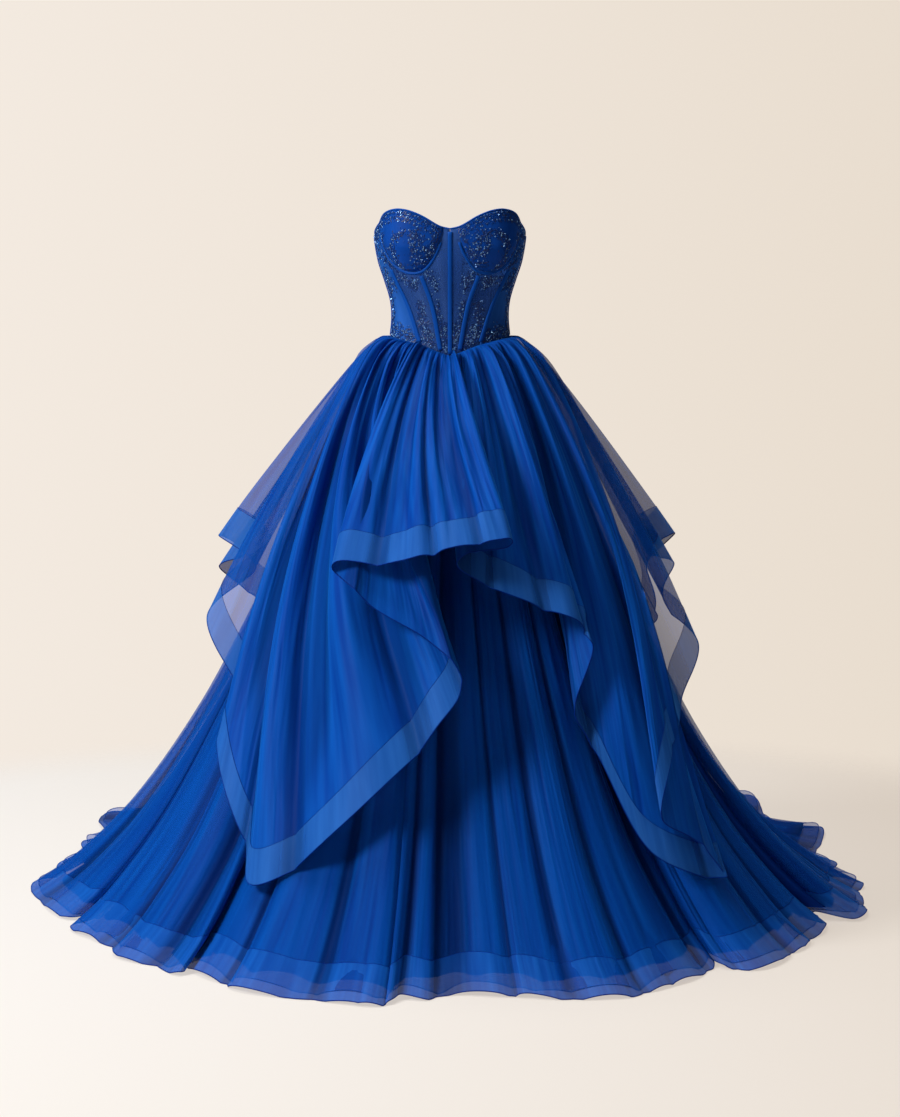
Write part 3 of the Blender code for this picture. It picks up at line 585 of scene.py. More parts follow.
def cover_by_mark(material):
    """Lets a piece's own cover mark say how dense its sheer cloth is."""
    nodes, links = nodes_of(material)
    cover = add_node(material, "ShaderNodeAttribute", attribute_name="cover")
    links.new(cover.outputs["Fac"], nodes["Principled BSDF"].inputs["Alpha"])


def face_top(material, start, end):
    """Makes a net denser towards the top edge, where it is faced on the inside."""
    nodes, links = nodes_of(material)
    shader = nodes["Principled BSDF"]
    place = add_node(material, "ShaderNodeTexCoord")
    parts = add_node(material, "ShaderNodeSeparateXYZ")
    links.new(place.outputs["Object"], parts.inputs[0])
    rise = add_node(material, "ShaderNodeMapRange")
    rise.inputs["From Min"].default_value = start
    rise.inputs["From Max"].default_value = end
    rise.inputs["To Min"].default_value = shader.inputs["Alpha"].default_value
    rise.inputs["To Max"].default_value = 1.0
    links.new(parts.outputs["Z"], rise.inputs["Value"])
    links.new(rise.outputs["Result"], shader.inputs["Alpha"])


face_top(bodice_net, 0.165, 0.190)
cover_by_mark(overskirt_cloth)


def bead_finish(name, colour, roughness, metallic, specular, coat):
    """Glass or thread, a little lighter and darker from one bead to the next."""
    material = new_finish(name, colour, roughness, Metallic=metallic, Specular_IOR_Level=specular,
                          Coat_Weight=coat, Coat_Roughness=0.08)
    nodes, links = nodes_of(material)
    place = add_node(material, "ShaderNodeTexCoord")
    spots = add_node(material, "ShaderNodeTexVoronoi", Scale=420.0)
    links.new(place.outputs["Object"], spots.inputs["Vector"])
    tone = add_node(material, "ShaderNodeMix", data_type="RGBA")
    tone.inputs["A"].default_value = tuple(0.55 * c for c in colour) + (1.0,)
    tone.inputs["B"].default_value = tuple(min(1.6 * c, 1.0) for c in colour) + (1.0,)
    links.new(spots.outputs["Distance"], tone.inputs["Factor"])
    links.new(tone.outputs["Result"], nodes["Principled BSDF"].inputs["Base Color"])
    return material


bead_glass = bead_finish("bead_glass", (0.010, 0.060, 0.270), 0.35, 0.25, 0.2, 0.0)
crystal_glass = bead_finish("crystal_glass", (0.22, 0.42, 1.0), 0.30, 0.60, 0.3, 0.0)
lace_thread = bead_finish("lace_thread", (0.003, 0.022, 0.130), 0.42, 0.0, 0.4, 0.0)
painted_zip = bead_finish("painted_zip", (0.006, 0.030, 0.190), 0.30, 0.5, 0.5, 0.4)


# ---------------------------------------------------------------- folds of the skirt
def crest_angles(count, seed, unevenness):
    """Angles of fold crests round the waist, unevenly spaced, and the height of each as a share."""
    source = random.Random(seed)
    widths = np.array([source.uniform(1 - unevenness, 1 + unevenness) for _ in range(count)])
    ends = np.concatenate([[0.0], np.cumsum(widths)]) / widths.sum() * 360.0 - 180.0
    heights = np.array([source.uniform(0.55, 1.25) for _ in range(count)])
    return ends, np.append(heights, heights[0])


def ridges(angle, crests):
    """Height of the folds at an angle: round on a crest, and sharp in the valley between two."""
    ends, heights = crests
    turned = signed_angle(angle)
    index = np.clip(np.searchsorted(ends, turned, side="right") - 1, 0, len(ends) - 2)
    share = (turned - ends[index]) / (ends[index + 1] - ends[index])
    height = mix(heights[index], heights[index + 1], soft_step(share))
    return height * (np.abs(np.cos(np.pi * share)) ** 0.7 - 0.92)


# creases of the overskirt: row of its hem table, depth below the waist where it starts
# and ends, half width in rows, height (a trough is below zero)
OVERSKIRT_CREASES = [
    (6.0, 0.05, 0.50, 0.45, 0.003), (8.0, 0.06, 0.60, 0.45, 0.006), (9.6, 0.05, 0.90, 0.50, 0.015),
    (10.6, 0.06, 0.80, 0.35, -0.013), (11.3, 0.04, 0.90, 0.35, 0.010), (12.1, 0.04, 1.10, 0.40, 0.018),
    (12.8, 0.05, 0.90, 0.30, -0.014), (13.35, 0.05, 0.80, 0.25, 0.012), (13.9, 0.06, 0.75, 0.25, -0.010),
    (14.5, 0.05, 0.60, 0.30, 0.011), (15.3, 0.05, 0.55, 0.35, -0.010), (17.0, 0.03, 0.50, 0.50, -0.014),
    (18.0, 0.015, 0.55, 0.40, 0.016), (18.7, 0.03, 0.40, 0.30, -0.007), (19.2, 0.04, 0.42, 0.25, 0.006),
    (19.8, 0.03, 0.42, 0.35, -0.014), (20.4, 0.04, 0.42, 0.25, 0.006), (21.05, 0.015, 0.50, 0.35, 0.017),
    (22.1, 0.02, 0.50, 0.50, -0.017), (23.0, 0.03, 0.50, 0.30, 0.008), (23.6, 0.04, 0.50, 0.30, -0.010),
    (24.3, 0.03, 0.60, 0.35, 0.014), (25.1, 0.05, 0.60, 0.30, -0.013), (25.8, 0.05, 0.70, 0.30, 0.010),
    (27.0, 0.05, 0.80, 0.40, -0.012), (28.0, 0.05, 0.90, 0.30, 0.012), (29.0, 0.05, 1.10, 0.40, 0.014),
    (30.2, 0.06, 0.90, 0.40, -0.013), (32.0, 0.05, 0.80, 0.45, 0.015), (33.0, 0.06, 0.75, 0.35, -0.013),
    (34.0, 0.06, 0.65, 0.40, 0.012), (36.0, 0.06, 0.50, 0.40, 0.005), (38.0, 0.05, 0.50, 0.40, 0.003),
]

FINE_GATHERS = crest_angles(170, 3, 0.45)
GATHERS = crest_angles(74, 7, 0.50)
PLEATS = crest_angles(36, 12, 0.45)
DEEPEST_PLEAT = 0.036


def waist_ring(angle, layer):
    """Where a skirt layer meets the waist seam. Layers are counted outwards from the bodice wall."""
    point = body_point(angle, waist_seam(angle), LAYER_STEP * layer)
    point[..., 2] += SEAM_LAP if layer > 1 else -UNDERSKIRT_DROP
    return point


def gather_relief(angle, points, below, strength):
    """How far the cloth stands out on its gathers, at distances below the waist seam.

    Where the cloth spreads, its pleats spread with it and stand out further.
    """
    around = np.roll(points, -1, 0) - np.roll(points, 1, 0)
    turned = np.roll(angle, -1, 0) - np.roll(angle, 1, 0)
    turned = np.where(turned < -180, turned + 360, turned)
    spread = np.linalg.norm(around, axis=-1) / np.maximum(turned, 1e-3)
    pleat_width = 360 / (len(PLEATS[0]) - 1)
    depth = np.minimum(0.28 * spread * pleat_width, DEEPEST_PLEAT)
    fine = 0.0032 * ridges(angle, FINE_GATHERS) * hump(below, 0.0, 0.006, 0.08, 0.30)
    medium = 0.0062 * ridges(angle, GATHERS) * hump(below, 0.0, 0.035, 0.16, 0.50)
    broad = depth * ridges(angle, PLEATS) * soft_step((below - 0.03) / 0.32)
    return strength * (fine + medium + broad)


def outward_normals(points):
    """Normals of a layer that goes all round, pointing away from the figure."""
    around = np.roll(points, -1, 0) - np.roll(points, 1, 0)
    normals = unit(np.cross(np.gradient(points, axis=1), around))
    return -normals if (normals * points)[..., :2].sum() < 0 else normals


def fold_shade_mask(points):
    """How far each point lies in a fold's trough, 0 on a crest and 1 deep in it: the mask of the painted
    fold shade.
    """
    normals = outward_normals(points)
    fold_shade = 0.0
    for step, depth in ((3, 0.0016), (7, 0.0060), (14, 0.016)):
        beside = 0.5 * (np.roll(points, step, 0) + np.roll(points, -step, 0)) - points
        fold_shade = fold_shade + np.clip((beside * normals).sum(-1) / depth, -1, 1) / 3
    return 0.5 + 0.5 * fold_shade


def crease_relief(creases, rows, place, below):
    """How far the cloth stands out on creases that run down it from near the waist."""
    relief = 0.0 * place
    for row, start, end, half_width, height in creases:
        away = (place - row + 0.5 * rows) % rows - 0.5 * rows
        run = soft_step((below - 0.3 * start) / (1.5 * start)) * soft_step((end - below) / (0.35 * end))
        relief += height * np.exp(-(away / half_width) ** 2) * run
    return relief


def add_relief(points, angle, below, strength):
    """Moves a layer out along its normals by the relief of its gathers."""
    return points + outward_normals(points) * gather_relief(angle, points, below, strength)[..., None]


def ring_places(rows, columns, shares):
    """For every point of a grid, its place in a ring of rows and its share of the length."""
    place = np.arange(columns)[:, None] * len(rows) / columns + 0.0 * shares[None, :]
    return place, shares[None, :] + 0.0 * place


def skirt_surface(rows, columns, shares, layer, shorter, lift, strength):
    """The grid of a floor-length layer. lift(angle) is the height of its hem above the floor."""
    place, shares = ring_places(rows, columns, shares)
    seam_angle = ring_read(rows, place, 0)
    hem_angle = ring_read(rows, place, 1)
    reach = ring_read(rows, place, 2) - shorter
    top = waist_ring(seam_angle, layer)
    start = np.hypot(top[..., 0], top[..., 1])
    trail = smooth_read(TRAIN, signed_angle(hem_angle))
    down = mix(smooth_read(HANGING, shares, 1), smooth_read(TRAILING, shares, 1), trail)
    out = mix(smooth_read(HANGING, shares, 2), smooth_read(TRAILING, shares, 2), trail)
    sink = LAYER_SINK * (OUTER_LAYER - layer) * soft_step(shares / 0.05)
    height = mix(top[..., 2], FLOOR + lift(hem_angle), down) - sink * (1 - shares)
    angle = mix(seam_angle, hem_angle, soft_step(shares))
    points = polar_point(angle, mix(start, reach, out), height)
    below = shares * GATHER_RUN
    points = add_relief(points, seam_angle, below, strength * mix(1.0, 0.65, soft_step(shares * 4 - 3)))
    points[..., 2] = np.maximum(points[..., 2], FLOOR + FLOOR_GAP)
    return points


def overskirt_surface(rows, columns, shares, layer):
    """The grid of the fluted overskirt, whose hem turns back on itself at the flutes."""
    place, shares = ring_places(rows, columns, shares)
    seam_angle = ring_read(rows, place, 0)
    hem_angle = ring_read(rows, place, 1)
    reach = ring_read(rows, place, 2)
    drop = ring_read(rows, place, 3)
    top = waist_ring(seam_angle, layer)
    start = np.hypot(top[..., 0], top[..., 1])
    down = smooth_read(OVERSKIRT_FALL, shares, 1)
    out = smooth_read(OVERSKIRT_FALL, shares, 2)
    angle = mix(seam_angle, hem_angle, 0.5 * (soft_step(shares) + shares))
    rise = LAYER_SINK * soft_step(shares / 0.05) * (1 - shares)
    height = mix(top[..., 2], -drop, down) + rise
    points = polar_point(angle, mix(start, reach, out), height)
    below = shares * drop
    creased = crease_relief(OVERSKIRT_CREASES, len(rows), place, below)
    points = points + outward_normals(points) * creased[..., None]
    return add_relief(points, seam_angle, below, mix(1.0, 0.55, soft_step(shares * 3 - 2)))


def row_spacing(rows):
    """Shares of the length from the waist to the hem, closer together at the waist."""
    even = np.linspace(0, 1, rows)
    return mix(even, even ** 1.35, 1 - even)


def lifted_hem(base, height, seed, count):
    """A hem that rises and falls a little round the skirt."""
    crests = crest_angles(count, seed, 0.4)

    def lift(angle):
        return base + height * (ridges(angle, crests) + 0.92)

    return lift


def hem_edge(name, points, material):
    """The rolled edge along a hem, as a thin cord."""
    down = points[:, -1] - points[:, -2]
    mesh = tube_mesh(name, points[:, -1], unit(down), EDGE_RADIUS, 6, True)
    return finish_piece(name, mesh, material)


def band_grid(points, width, rows, step):
    """The grid of a hem band: the layer's own surface over its last stretch, moved out."""
    lengths = np.concatenate([np.zeros((len(points), 1)),
                              np.cumsum(np.linalg.norm(np.diff(points, axis=1), axis=-1), 1)], 1)
    normals = outward_normals(points)
    grid = np.empty((len(points), rows, 3))
    for i in range(len(points)):
        wanted = lengths[i, -1] - width * np.linspace(1, 0, rows)
        for axis in range(3):
            grid[i, :, axis] = np.interp(wanted, lengths[i], points[i, :, axis])
            grid[i, :, axis] += step * np.interp(wanted, lengths[i], normals[i, :, axis])
    return grid


def hem_length(points):
    line = points[:, -1]
    return float(np.linalg.norm(np.roll(line, -1, 0) - line, axis=-1).sum())


def hem_band(name, node, points, width, material):
    """A hem band and the line of its seam. Gives the band's grid and both pieces."""
    grid = band_grid(points, width, BAND_ROWS, BAND_STEP)
    # the fold mark is the mask of the shade painted into the band's colour in its folds
    band = cloth_piece(f"{name}_cloth", grid, True, (hem_length(points), width), None, material,
                       [node], {"fold": fold_shade_mask(grid)})
    seam = tube_mesh("seam", grid[:, 0], unit(grid[:, 1] - grid[:, 0]), SEAM_RADIUS, 5, True)
    return grid, band, finish_piece(f"{name}_seam", seam, edge_thread)


def build_skirts():
    """The lining and two layers of organza."""
    # piece, node, columns, rows, layers further in, how much shorter, hem, strength of the folds,
    # cloth, slot, wall, cloth of the rolled edge
    plan = [
        ("underskirt_lining", "underskirt", 420, 30, 2, 0.066, lifted_hem(0.016, 0.012, 21, 30), 0.75,
         underskirt_cloth, "underskirt_cloth", DENSE_WALL, organza_inner),
        ("skirt_organza_inner", "skirt_inner", 600, 36, 1, 0.016, lifted_hem(0.008, 0.014, 23, 26), 0.9,
         organza_inner, "organza", None, organza_inner),
        ("skirt_organza_outer", "skirt_outer", 960, 50, 0, 0.0, lifted_hem(0.003, 0.006, 25, 40), 1.0,
         organza, "organza", None, edge_thread),
    ]
    for name, node, columns, lines, under, shorter, lift, strength, material, slot, wall, edging in plan:
        shares = row_spacing(lines)
        points = skirt_surface(SKIRT_HEM, columns, shares, OUTER_LAYER - under, shorter, lift, strength)
        # the fold mark is the mask of the shade painted into the layer's colour in its folds
        marks = {"fold": fold_shade_mask(points)}
        piece = cloth_piece(name, points, True, (hem_length(points), SKIRT_LENGTH), wall, material,
                            [node], marks)
        pieces = [hem_edge(name + "_edge", points, edging)]
        if node == "skirt_outer":
            grid, band, seam = hem_band("skirt_hem_band", "skirt_hem_band", points, HEM_BAND,
                                        skirt_band_cloth)
            pieces += [band, seam]


def build_overskirt():
    """The short fluted layer on top, denser in front than at the sides."""
    points = overskirt_surface(OVERSKIRT_HEM, 968, row_spacing(50), OUTER_LAYER + 1)
    around = folded_angle(np.degrees(np.arctan2(points[..., 0], -points[..., 1])))
    cover = mix(FRONT_COVER, SIDE_COVER, soft_step((around - FRONT_REACH) / COVER_FADE))
    # the fold mark is the mask of the shade painted into the overskirt's colour in its folds
    marks = {"fold": fold_shade_mask(points), "cover": cover}
    piece = cloth_piece("overskirt_organza", points, True, (hem_length(points), OVERSKIRT_LENGTH), None,
                        overskirt_cloth, ["overskirt"], marks)
    edge = hem_edge("overskirt_edge", points, edge_thread)
    grid, band, seam = hem_band("overskirt_band", "overskirt_hem_band", points, OVERSKIRT_BAND,
                                organza_band)


# ---------------------------------------------------------------- the bodice
def seam_at(angle):
    return lambda height: angle + 0.0 * height


def inner_seam(height):
    return smooth_read(INNER_SEAM, height)


def outer_seam(height):
    return smooth_read(OUTER_SEAM, height)


def panel_grid(left_seam, right_seam, columns, rows, side):
    """The grid of a bodice panel between two seams, from the waist seam to its top edge."""
    share = np.linspace(0, 1, columns)

    def angle_at(height, share=share):
        half_gap = np.degrees(0.5 * SEAM_GAP / smooth_read(BODY_SECTIONS, height, 1))
        return mix(left_seam(height) + half_gap, right_seam(height) - half_gap, share)

    # the seams lean, so the heights of both edges are found step by step
    low, high = np.zeros(columns), np.full(columns, 0.15)
    for _ in range(14):
        low = waist_seam(angle_at(low)) + 0.5 * SEAM_GAP
        high = mix(high, neckline(angle_at(high)), 0.6)
    up = np.linspace(0, 1, rows)[None, :]
    height = mix(low[:, None], high[:, None], up)
    points = body_point(side * angle_at(height, share[:, None]), height, 0.5 * BODICE_WALL)
    return points if side > 0 else points[::-1]


def build_panels():
    half_zip = math.degrees(0.5 * ZIP_OPENING / WAIST_HALF_WIDTH)
    plan = [
        ("front_panel", seam_at(0), inner_seam, 14, bodice_net, "bodice_net"),
        ("front_mid", inner_seam, outer_seam, 16, bodice_net, "bodice_net"),
        ("side_front", outer_seam, seam_at(90), 18, bodice_cloth, "bodice_cloth"),
        ("side_back", seam_at(90), seam_at(135), 16, bodice_cloth, "bodice_cloth"),
        ("back", seam_at(135), seam_at(180 - half_zip), 16, bodice_cloth, "bodice_cloth"),
    ]
    for name, left_seam, right_seam, columns, material, slot in plan:
        for side, hand in ((1, "right"), (-1, "left")):
            points = panel_grid(left_seam, right_seam, columns, PANEL_ROWS, side)
            node = f"{name}_{hand}"
            piece = cloth_piece(f"{node}_cloth", points, False, (0.10, 0.24), PANEL_WALL, material,
                                [node])


def build_cups():
    rows = 22
    for side, hand in ((1, "right"), (-1, "left")):
        angle, low = edge_below_cup(-2 * TRIM_GAP, 46)
        high = np.maximum(neckline(angle), low + 0.002)
        height = mix(low[:, None], high[:, None], np.linspace(0, 1, rows)[None, :])
        angle = angle[:, None] + 0.0 * height
        points = body_point(side * angle, height, cup_bulge(angle, height) + 0.5 * BODICE_WALL)
        points = points if side > 0 else points[::-1]
        piece = cloth_piece(f"cup_{hand}_cloth", points, False, (0.15, 0.12), CUP_WALL, cup_cloth,
                            [f"cup_{hand}"])


def rounded_strip(line_angle, line_height, width, start, rise, side):
    """A padded strip along a line on the figure: flat behind, rounded in front."""
    centre = body_point(side * line_angle, line_height, start)
    outwards = unit(body_point(side * line_angle, line_height, start + 0.01) - centre)
    along = unit(np.gradient(centre, axis=0))
    across = unit(np.cross(along, outwards))
    turns = np.linspace(0, math.pi, 9)
    front = [(-0.5 * width * math.cos(t), rise * math.sin(t) ** 0.6) for t in turns]
    profile = front + [(0.25 * width, 0.0), (-0.25 * width, 0.0)]
    points = np.stack([centre + across * x + outwards * y for x, y in profile], 1)
    points = points - outwards[:, None] * bend_back(points, centre, side)[..., None]
    return outward(mesh_of("strip", points, tube_faces(len(centre), len(profile), False)))


def bend_back(points, centre, side):
    """How far the figure falls away at each side of a strip's centre line."""
    offset = np.linalg.norm(points - centre[:, None], axis=-1)
    return offset ** 2 / (2 * WAIST_HALF_WIDTH) * 0.9


def build_bones():
    plan = [
        ("bone_inner", inner_seam, -0.0235, 0.1180),
        ("bone_outer", outer_seam, -0.0085, 0.1300),
        ("bone_side", seam_at(90), 0.0045, 0.1965),
        ("bone_back", seam_at(135), 0.0045, 0.1925),
    ]
    places = [("bone_centre", seam_at(0.0), -0.0315, 0.2020, 1)]
    for name, seam, low, high in plan:
        places += [(f"{name}_right", seam, low, high, 1), (f"{name}_left", seam, low, high, -1)]
    for name, seam, low, high, side in places:
        height = np.linspace(low, high, 40)
        mesh = rounded_strip(seam(height), height, BONE_WIDTH, BONE_START, BONE_HEIGHT, side)
        piece = finish_piece(f"{name}_casing", mesh, satin_trim)
        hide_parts(name)
    for side, hand in ((1, "right"), (-1, "left")):
        angle, height = edge_below_cup(0.5 * CASING_WIDTH + 0.5 * SEAM_GAP, 60)
        mesh = rounded_strip(angle[3:-3], height[3:-3], CASING_WIDTH - 2 * SEAM_GAP, CASING_START,
                             CASING_HEIGHT, side)
        piece = finish_piece(f"underwire_{hand}_casing", mesh, satin_trim)
        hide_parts(f"underwire_{hand}")


def neckline_points(count):
    half_zip = math.degrees(0.5 * ZIP_OPENING / NECK_BACK_DEPTH)
    angle = np.linspace(-180 + half_zip, 180 - half_zip, count)
    top = np.where(in_cup(angle), np.maximum(neckline(angle), cup_edge(angle) + 0.002), neckline(angle))
    bulge = np.where(in_cup(angle), cup_bulge(angle, top), 0.0)
    points = body_point(angle, top, bulge + 0.5 * BODICE_WALL)
    points[:, 2] += BINDING_RADIUS
    return points


def build_binding():
    points = neckline_points(300)
    sideways = np.zeros_like(points)
    sideways[:, 2] = 1.0
    mesh = tube_mesh("binding", points, sideways, BINDING_RADIUS, 10, False)
    piece = finish_piece("neckline_binding_roll", mesh, satin_trim)
    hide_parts("neckline_binding")


# ---------------------------------------------------------------- the beadwork
BEAD_DENSITY = 1.45
CRYSTAL_EXTRA = 0.05

# trail of beads: points (distance from the centre front, height), spread, how many, share of crystals
BEAD_TRAILS = [
    ([(0.145, 0.204), (0.138, 0.172), (0.124, 0.150), (0.108, 0.132)], 0.0070, 190, 0.08),
    ([(0.121, 0.200), (0.124, 0.172), (0.112, 0.142), (0.088, 0.1300)], 0.0035, 120, 0.06),
    ([(0.080, 0.203), (0.095, 0.192), (0.100, 0.168), (0.096, 0.144), (0.086, 0.131)], 0.0042, 150, 0.10),
    ([(0.070, 0.204), (0.052, 0.187), (0.041, 0.166), (0.050, 0.146), (0.062, 0.133)], 0.0090, 260, 0.10),
    ([(0.062, 0.204), (0.066, 0.180), (0.060, 0.155)], 0.0035, 70, 0.12),
    ([(0.024, 0.202), (0.028, 0.182), (0.040, 0.154)], 0.0035, 60, 0.08),
    ([(0.098, 0.117), (0.082, 0.110), (0.066, 0.103)], 0.0065, 95, 0.14),
    ([(0.069, 0.113), (0.066, 0.092)], 0.0035, 36, 0.14),
    ([(0.050, 0.127), (0.037, 0.118), (0.030, 0.105), (0.029, 0.092)], 0.0055, 85, 0.20),
    ([(0.120, 0.122), (0.112, 0.106), (0.101, 0.090)], 0.0055, 70, 0.08),
    ([(0.126, 0.135), (0.113, 0.085), (0.109, 0.042), (0.112, 0.006)], 0.0030, 130, 0.08),
    ([(0.109, 0.020), (0.086, 0.010), (0.062, 0.000)], 0.0065, 190, 0.12),
    ([(0.058, 0.070), (0.055, 0.042), (0.051, 0.016), (0.041, -0.010)], 0.0045, 170, 0.10),
    ([(0.048, 0.026), (0.042, 0.004), (0.034, -0.014)], 0.0055, 120, 0.14),
    ([(0.025, 0.070), (0.023, 0.046), (0.018, 0.016), (0.014, -0.015), (0.010, -0.026)], 0.0035, 150, 0.16),
    ([(0.009, 0.030), (0.008, 0.005), (0.007, -0.024)], 0.0022, 60, 0.16),
]

# beads scattered along an edge on each side: how many, angles from and to, how far they reach from it
NECKLINE_BEADS = ((560, 5, 80, 0.020), (230, 80, 178, 0.012))
WAIST_BEADS = ((230, 1, 90, 0.012), (260, 90, 178, 0.016))

# sprays that rise from the waist at the sides and the back: angle, height of the top
SPRAYS = ((105, 0.060), (120, 0.085), (150, 0.075), (165, 0.055))
SPRAY_BEADS = 70


def trail_spots(points, spread, count, source):
    """Angles and heights scattered about a trail on the front of the bodice."""
    line = np.array(points)
    lengths = np.concatenate([[0.0], np.cumsum(np.linalg.norm(np.diff(line, axis=0), axis=1))])
    place = source.random(count) * lengths[-1]
    across = np.interp(place, lengths, line[:, 0]) + source.normal(0, spread, count)
    height = np.interp(place, lengths, line[:, 1]) + source.normal(0, spread, count)
    half_width = smooth_read(BODY_SECTIONS, height, 1)
    return np.degrees(np.arcsin(np.clip(across / half_width, -0.999, 0.999))), height


def clear_of_boning(angle, height):
    """True where a bead has room: inside the edges, and off the bones and the casings."""
    turned = folded_angle(angle)
    arm = 0.92 * smooth_read(BODY_SECTIONS, height, 1)
    room = (height < neckline(turned) - BEAD_EDGE_GAP) & (height > waist_seam(turned) + BEAD_EDGE_GAP)
    lines = [(0.0 * height, 1.0), (inner_seam(height), height < 0.121), (outer_seam(height), height < 0.133),
             (90.0 + 0.0 * height, 1.0), (135.0 + 0.0 * height, 1.0), (180.0 + 0.0 * height, 1.0)]
    for seam, present in lines:
        near = np.radians(np.abs(turned - seam)) * arm < 0.5 * BONE_WIDTH + 0.0010
        room &= ~(near & (np.asarray(present) > 0))
    casing_gap = height - cup_edge(turned)
    near_casing = in_cup(turned) & (casing_gap < 0.0016) & (casing_gap > -CASING_WIDTH - 0.0016)
    return room & ~near_casing


def bead_spots(source):
    """Every place for a bead, with 1 where it is a crystal."""
    angles, heights, crystals = [], [], []
    for side in (-1, 1):
        for points, spread, sparse, share in BEAD_TRAILS:
            count = round(BEAD_DENSITY * sparse)
            angle, height = trail_spots(points, spread, count, source)
            angles.append(side * angle)
            heights.append(height)
            crystals.append(source.random(count) < share + CRYSTAL_EXTRA)
        for count, first, last, deep in NECKLINE_BEADS:
            angle = source.uniform(first, last, count)
            heights.append(neckline(angle) - 0.0025 - deep * source.random(count) ** 1.7)
            angles.append(side * angle)
            crystals.append(source.random(count) < 0.09)
        for count, first, last, deep in WAIST_BEADS:
            angle = source.uniform(first, last, count)
            heights.append(waist_seam(angle) + 0.0025 + deep * source.random(count) ** 1.6)
            angles.append(side * angle)
            crystals.append(source.random(count) < 0.14)
        for centre, top in SPRAYS:
            up = source.random(SPRAY_BEADS) ** 1.4
            heights.append(0.004 + top * up)
            angles.append(side * (centre + source.normal(0, 1.0, SPRAY_BEADS) * mix(4.0, 1.2, up)))
            crystals.append(source.random(SPRAY_BEADS) < 0.12)
    angle, height, crystal = map(np.concatenate, (angles, heights, crystals))
    kept = clear_of_boning(angle, height)
    return angle[kept], height[kept], crystal[kept]


def scattered_mesh(name, corners, faces, places, normals, turns, sizes):
    """One mesh from many copies of a small shape, each turned about its own normal."""
    reference = np.tile([0.0, 0.0, 1.0], (len(places), 1))
    along = unit(reference - normals * (reference * normals).sum(1, keepdims=True))
    across = np.cross(along, normals)
    first = along * np.cos(turns)[:, None] + across * np.sin(turns)[:, None]
    second = np.cross(normals, first)
    scaled = corners[None] * sizes[:, None, :]
    points = (places[:, None] + first[:, None] * scaled[..., :1] + second[:, None] * scaled[..., 1:2]
              + normals[:, None] * scaled[..., 2:])
    all_faces = []
    for copy in range(len(places)):
        start = copy * len(corners)
        all_faces += [[start + corner for corner in face] for face in faces]
    return mesh_of(name, points, all_faces)


def small_shape(kind):
    """Corners and faces of a bead, a crystal or a leaf, one unit across, standing on z = 0."""
    if kind == "bead":
        shape = bmesh.new()
        bmesh.ops.create_icosphere(shape, subdivisions=1, radius=0.5)
        corners = np.array([tuple(v.co) for v in shape.verts]) + (0, 0, 0.30)
        faces = [[v.index for v in f.verts] for f in shape.faces]
        shape.free()
        return corners, faces
    sides = 6 if kind == "crystal" else 8
    turns = np.linspace(0, math.tau, sides, endpoint=False)
    if kind == "crystal":
        girdle = np.stack([0.5 * np.cos(turns), 0.5 * np.sin(turns), 0.10 + 0 * turns], 1)
        table = np.stack([0.28 * np.cos(turns), 0.28 * np.sin(turns), 0.42 + 0 * turns], 1)
        corners = np.concatenate([girdle, table, [[0, 0, -0.1]]])
        faces = [[k, (k + 1) % 6, 6 + (k + 1) % 6, 6 + k] for k in range(6)]
        faces += [[12, (k + 1) % 6, k] for k in range(6)] + [list(range(6, 12))]
        return corners, faces
    outline = np.stack([0.5 * np.cos(turns), 0.5 * np.sign(np.sin(turns)) * np.abs(np.sin(turns)) ** 1.5,
                        0.05 + 0 * turns], 1)
    corners = np.concatenate([outline, [[0, 0, 0.5], [0, 0, -0.2]]])
    faces = [[k, (k + 1) % 8, 8] for k in range(8)] + [[(k + 1) % 8, k, 9] for k in range(8)]
    return corners, faces


def surface_frame(angle, height):
    """Points on the outside of the bodice and the normals there."""
    here = bodice_point(angle, height)
    turn, rise = 0.4, 0.0012
    around = bodice_point(angle + turn, height) - bodice_point(angle - turn, height)
    upward = bodice_point(angle, height + rise) - bodice_point(angle, height - rise)
    return here, unit(np.cross(around, upward))


def build_beadwork():
    """Beads, lace leaves and crystals, then the fine cords between them."""
    source = np.random.default_rng(17)
    angle, height, crystal = bead_spots(source)
    places, normals = surface_frame(angle, height)
    turns = source.uniform(0, math.tau, len(angle))
    kinds = np.where(crystal, 2, np.where(source.random(len(angle)) < 0.24, 1, 0))
    plan = [
        ("beads", "bead", 0, bead_glass, (0.0014, 0.0024), (0.75, 1.0), 0.85),
        ("lace_leaves", "leaf", 1, lace_thread, (0.0048, 0.0080), (0.32, 0.48), 0.14),
        ("crystals", "crystal", 2, crystal_glass, (0.0020, 0.0032), (0.95, 1.05), 1.0),
    ]
    for name, shape, kind, material, lengths, aspect, tall in plan:
        chosen = kinds == kind
        count = int(chosen.sum())
        length = source.uniform(*lengths, count)
        width = length * source.uniform(*aspect, count)
        sizes = np.stack([length, width, np.minimum(width, length) * tall], 1)
        corners, faces = small_shape(shape)
        mesh = scattered_mesh(name, corners, faces, places[chosen], normals[chosen], turns[chosen], sizes)
        finish_piece(name, outward(mesh), material, smooth=kind == 0)
    build_vines(source)


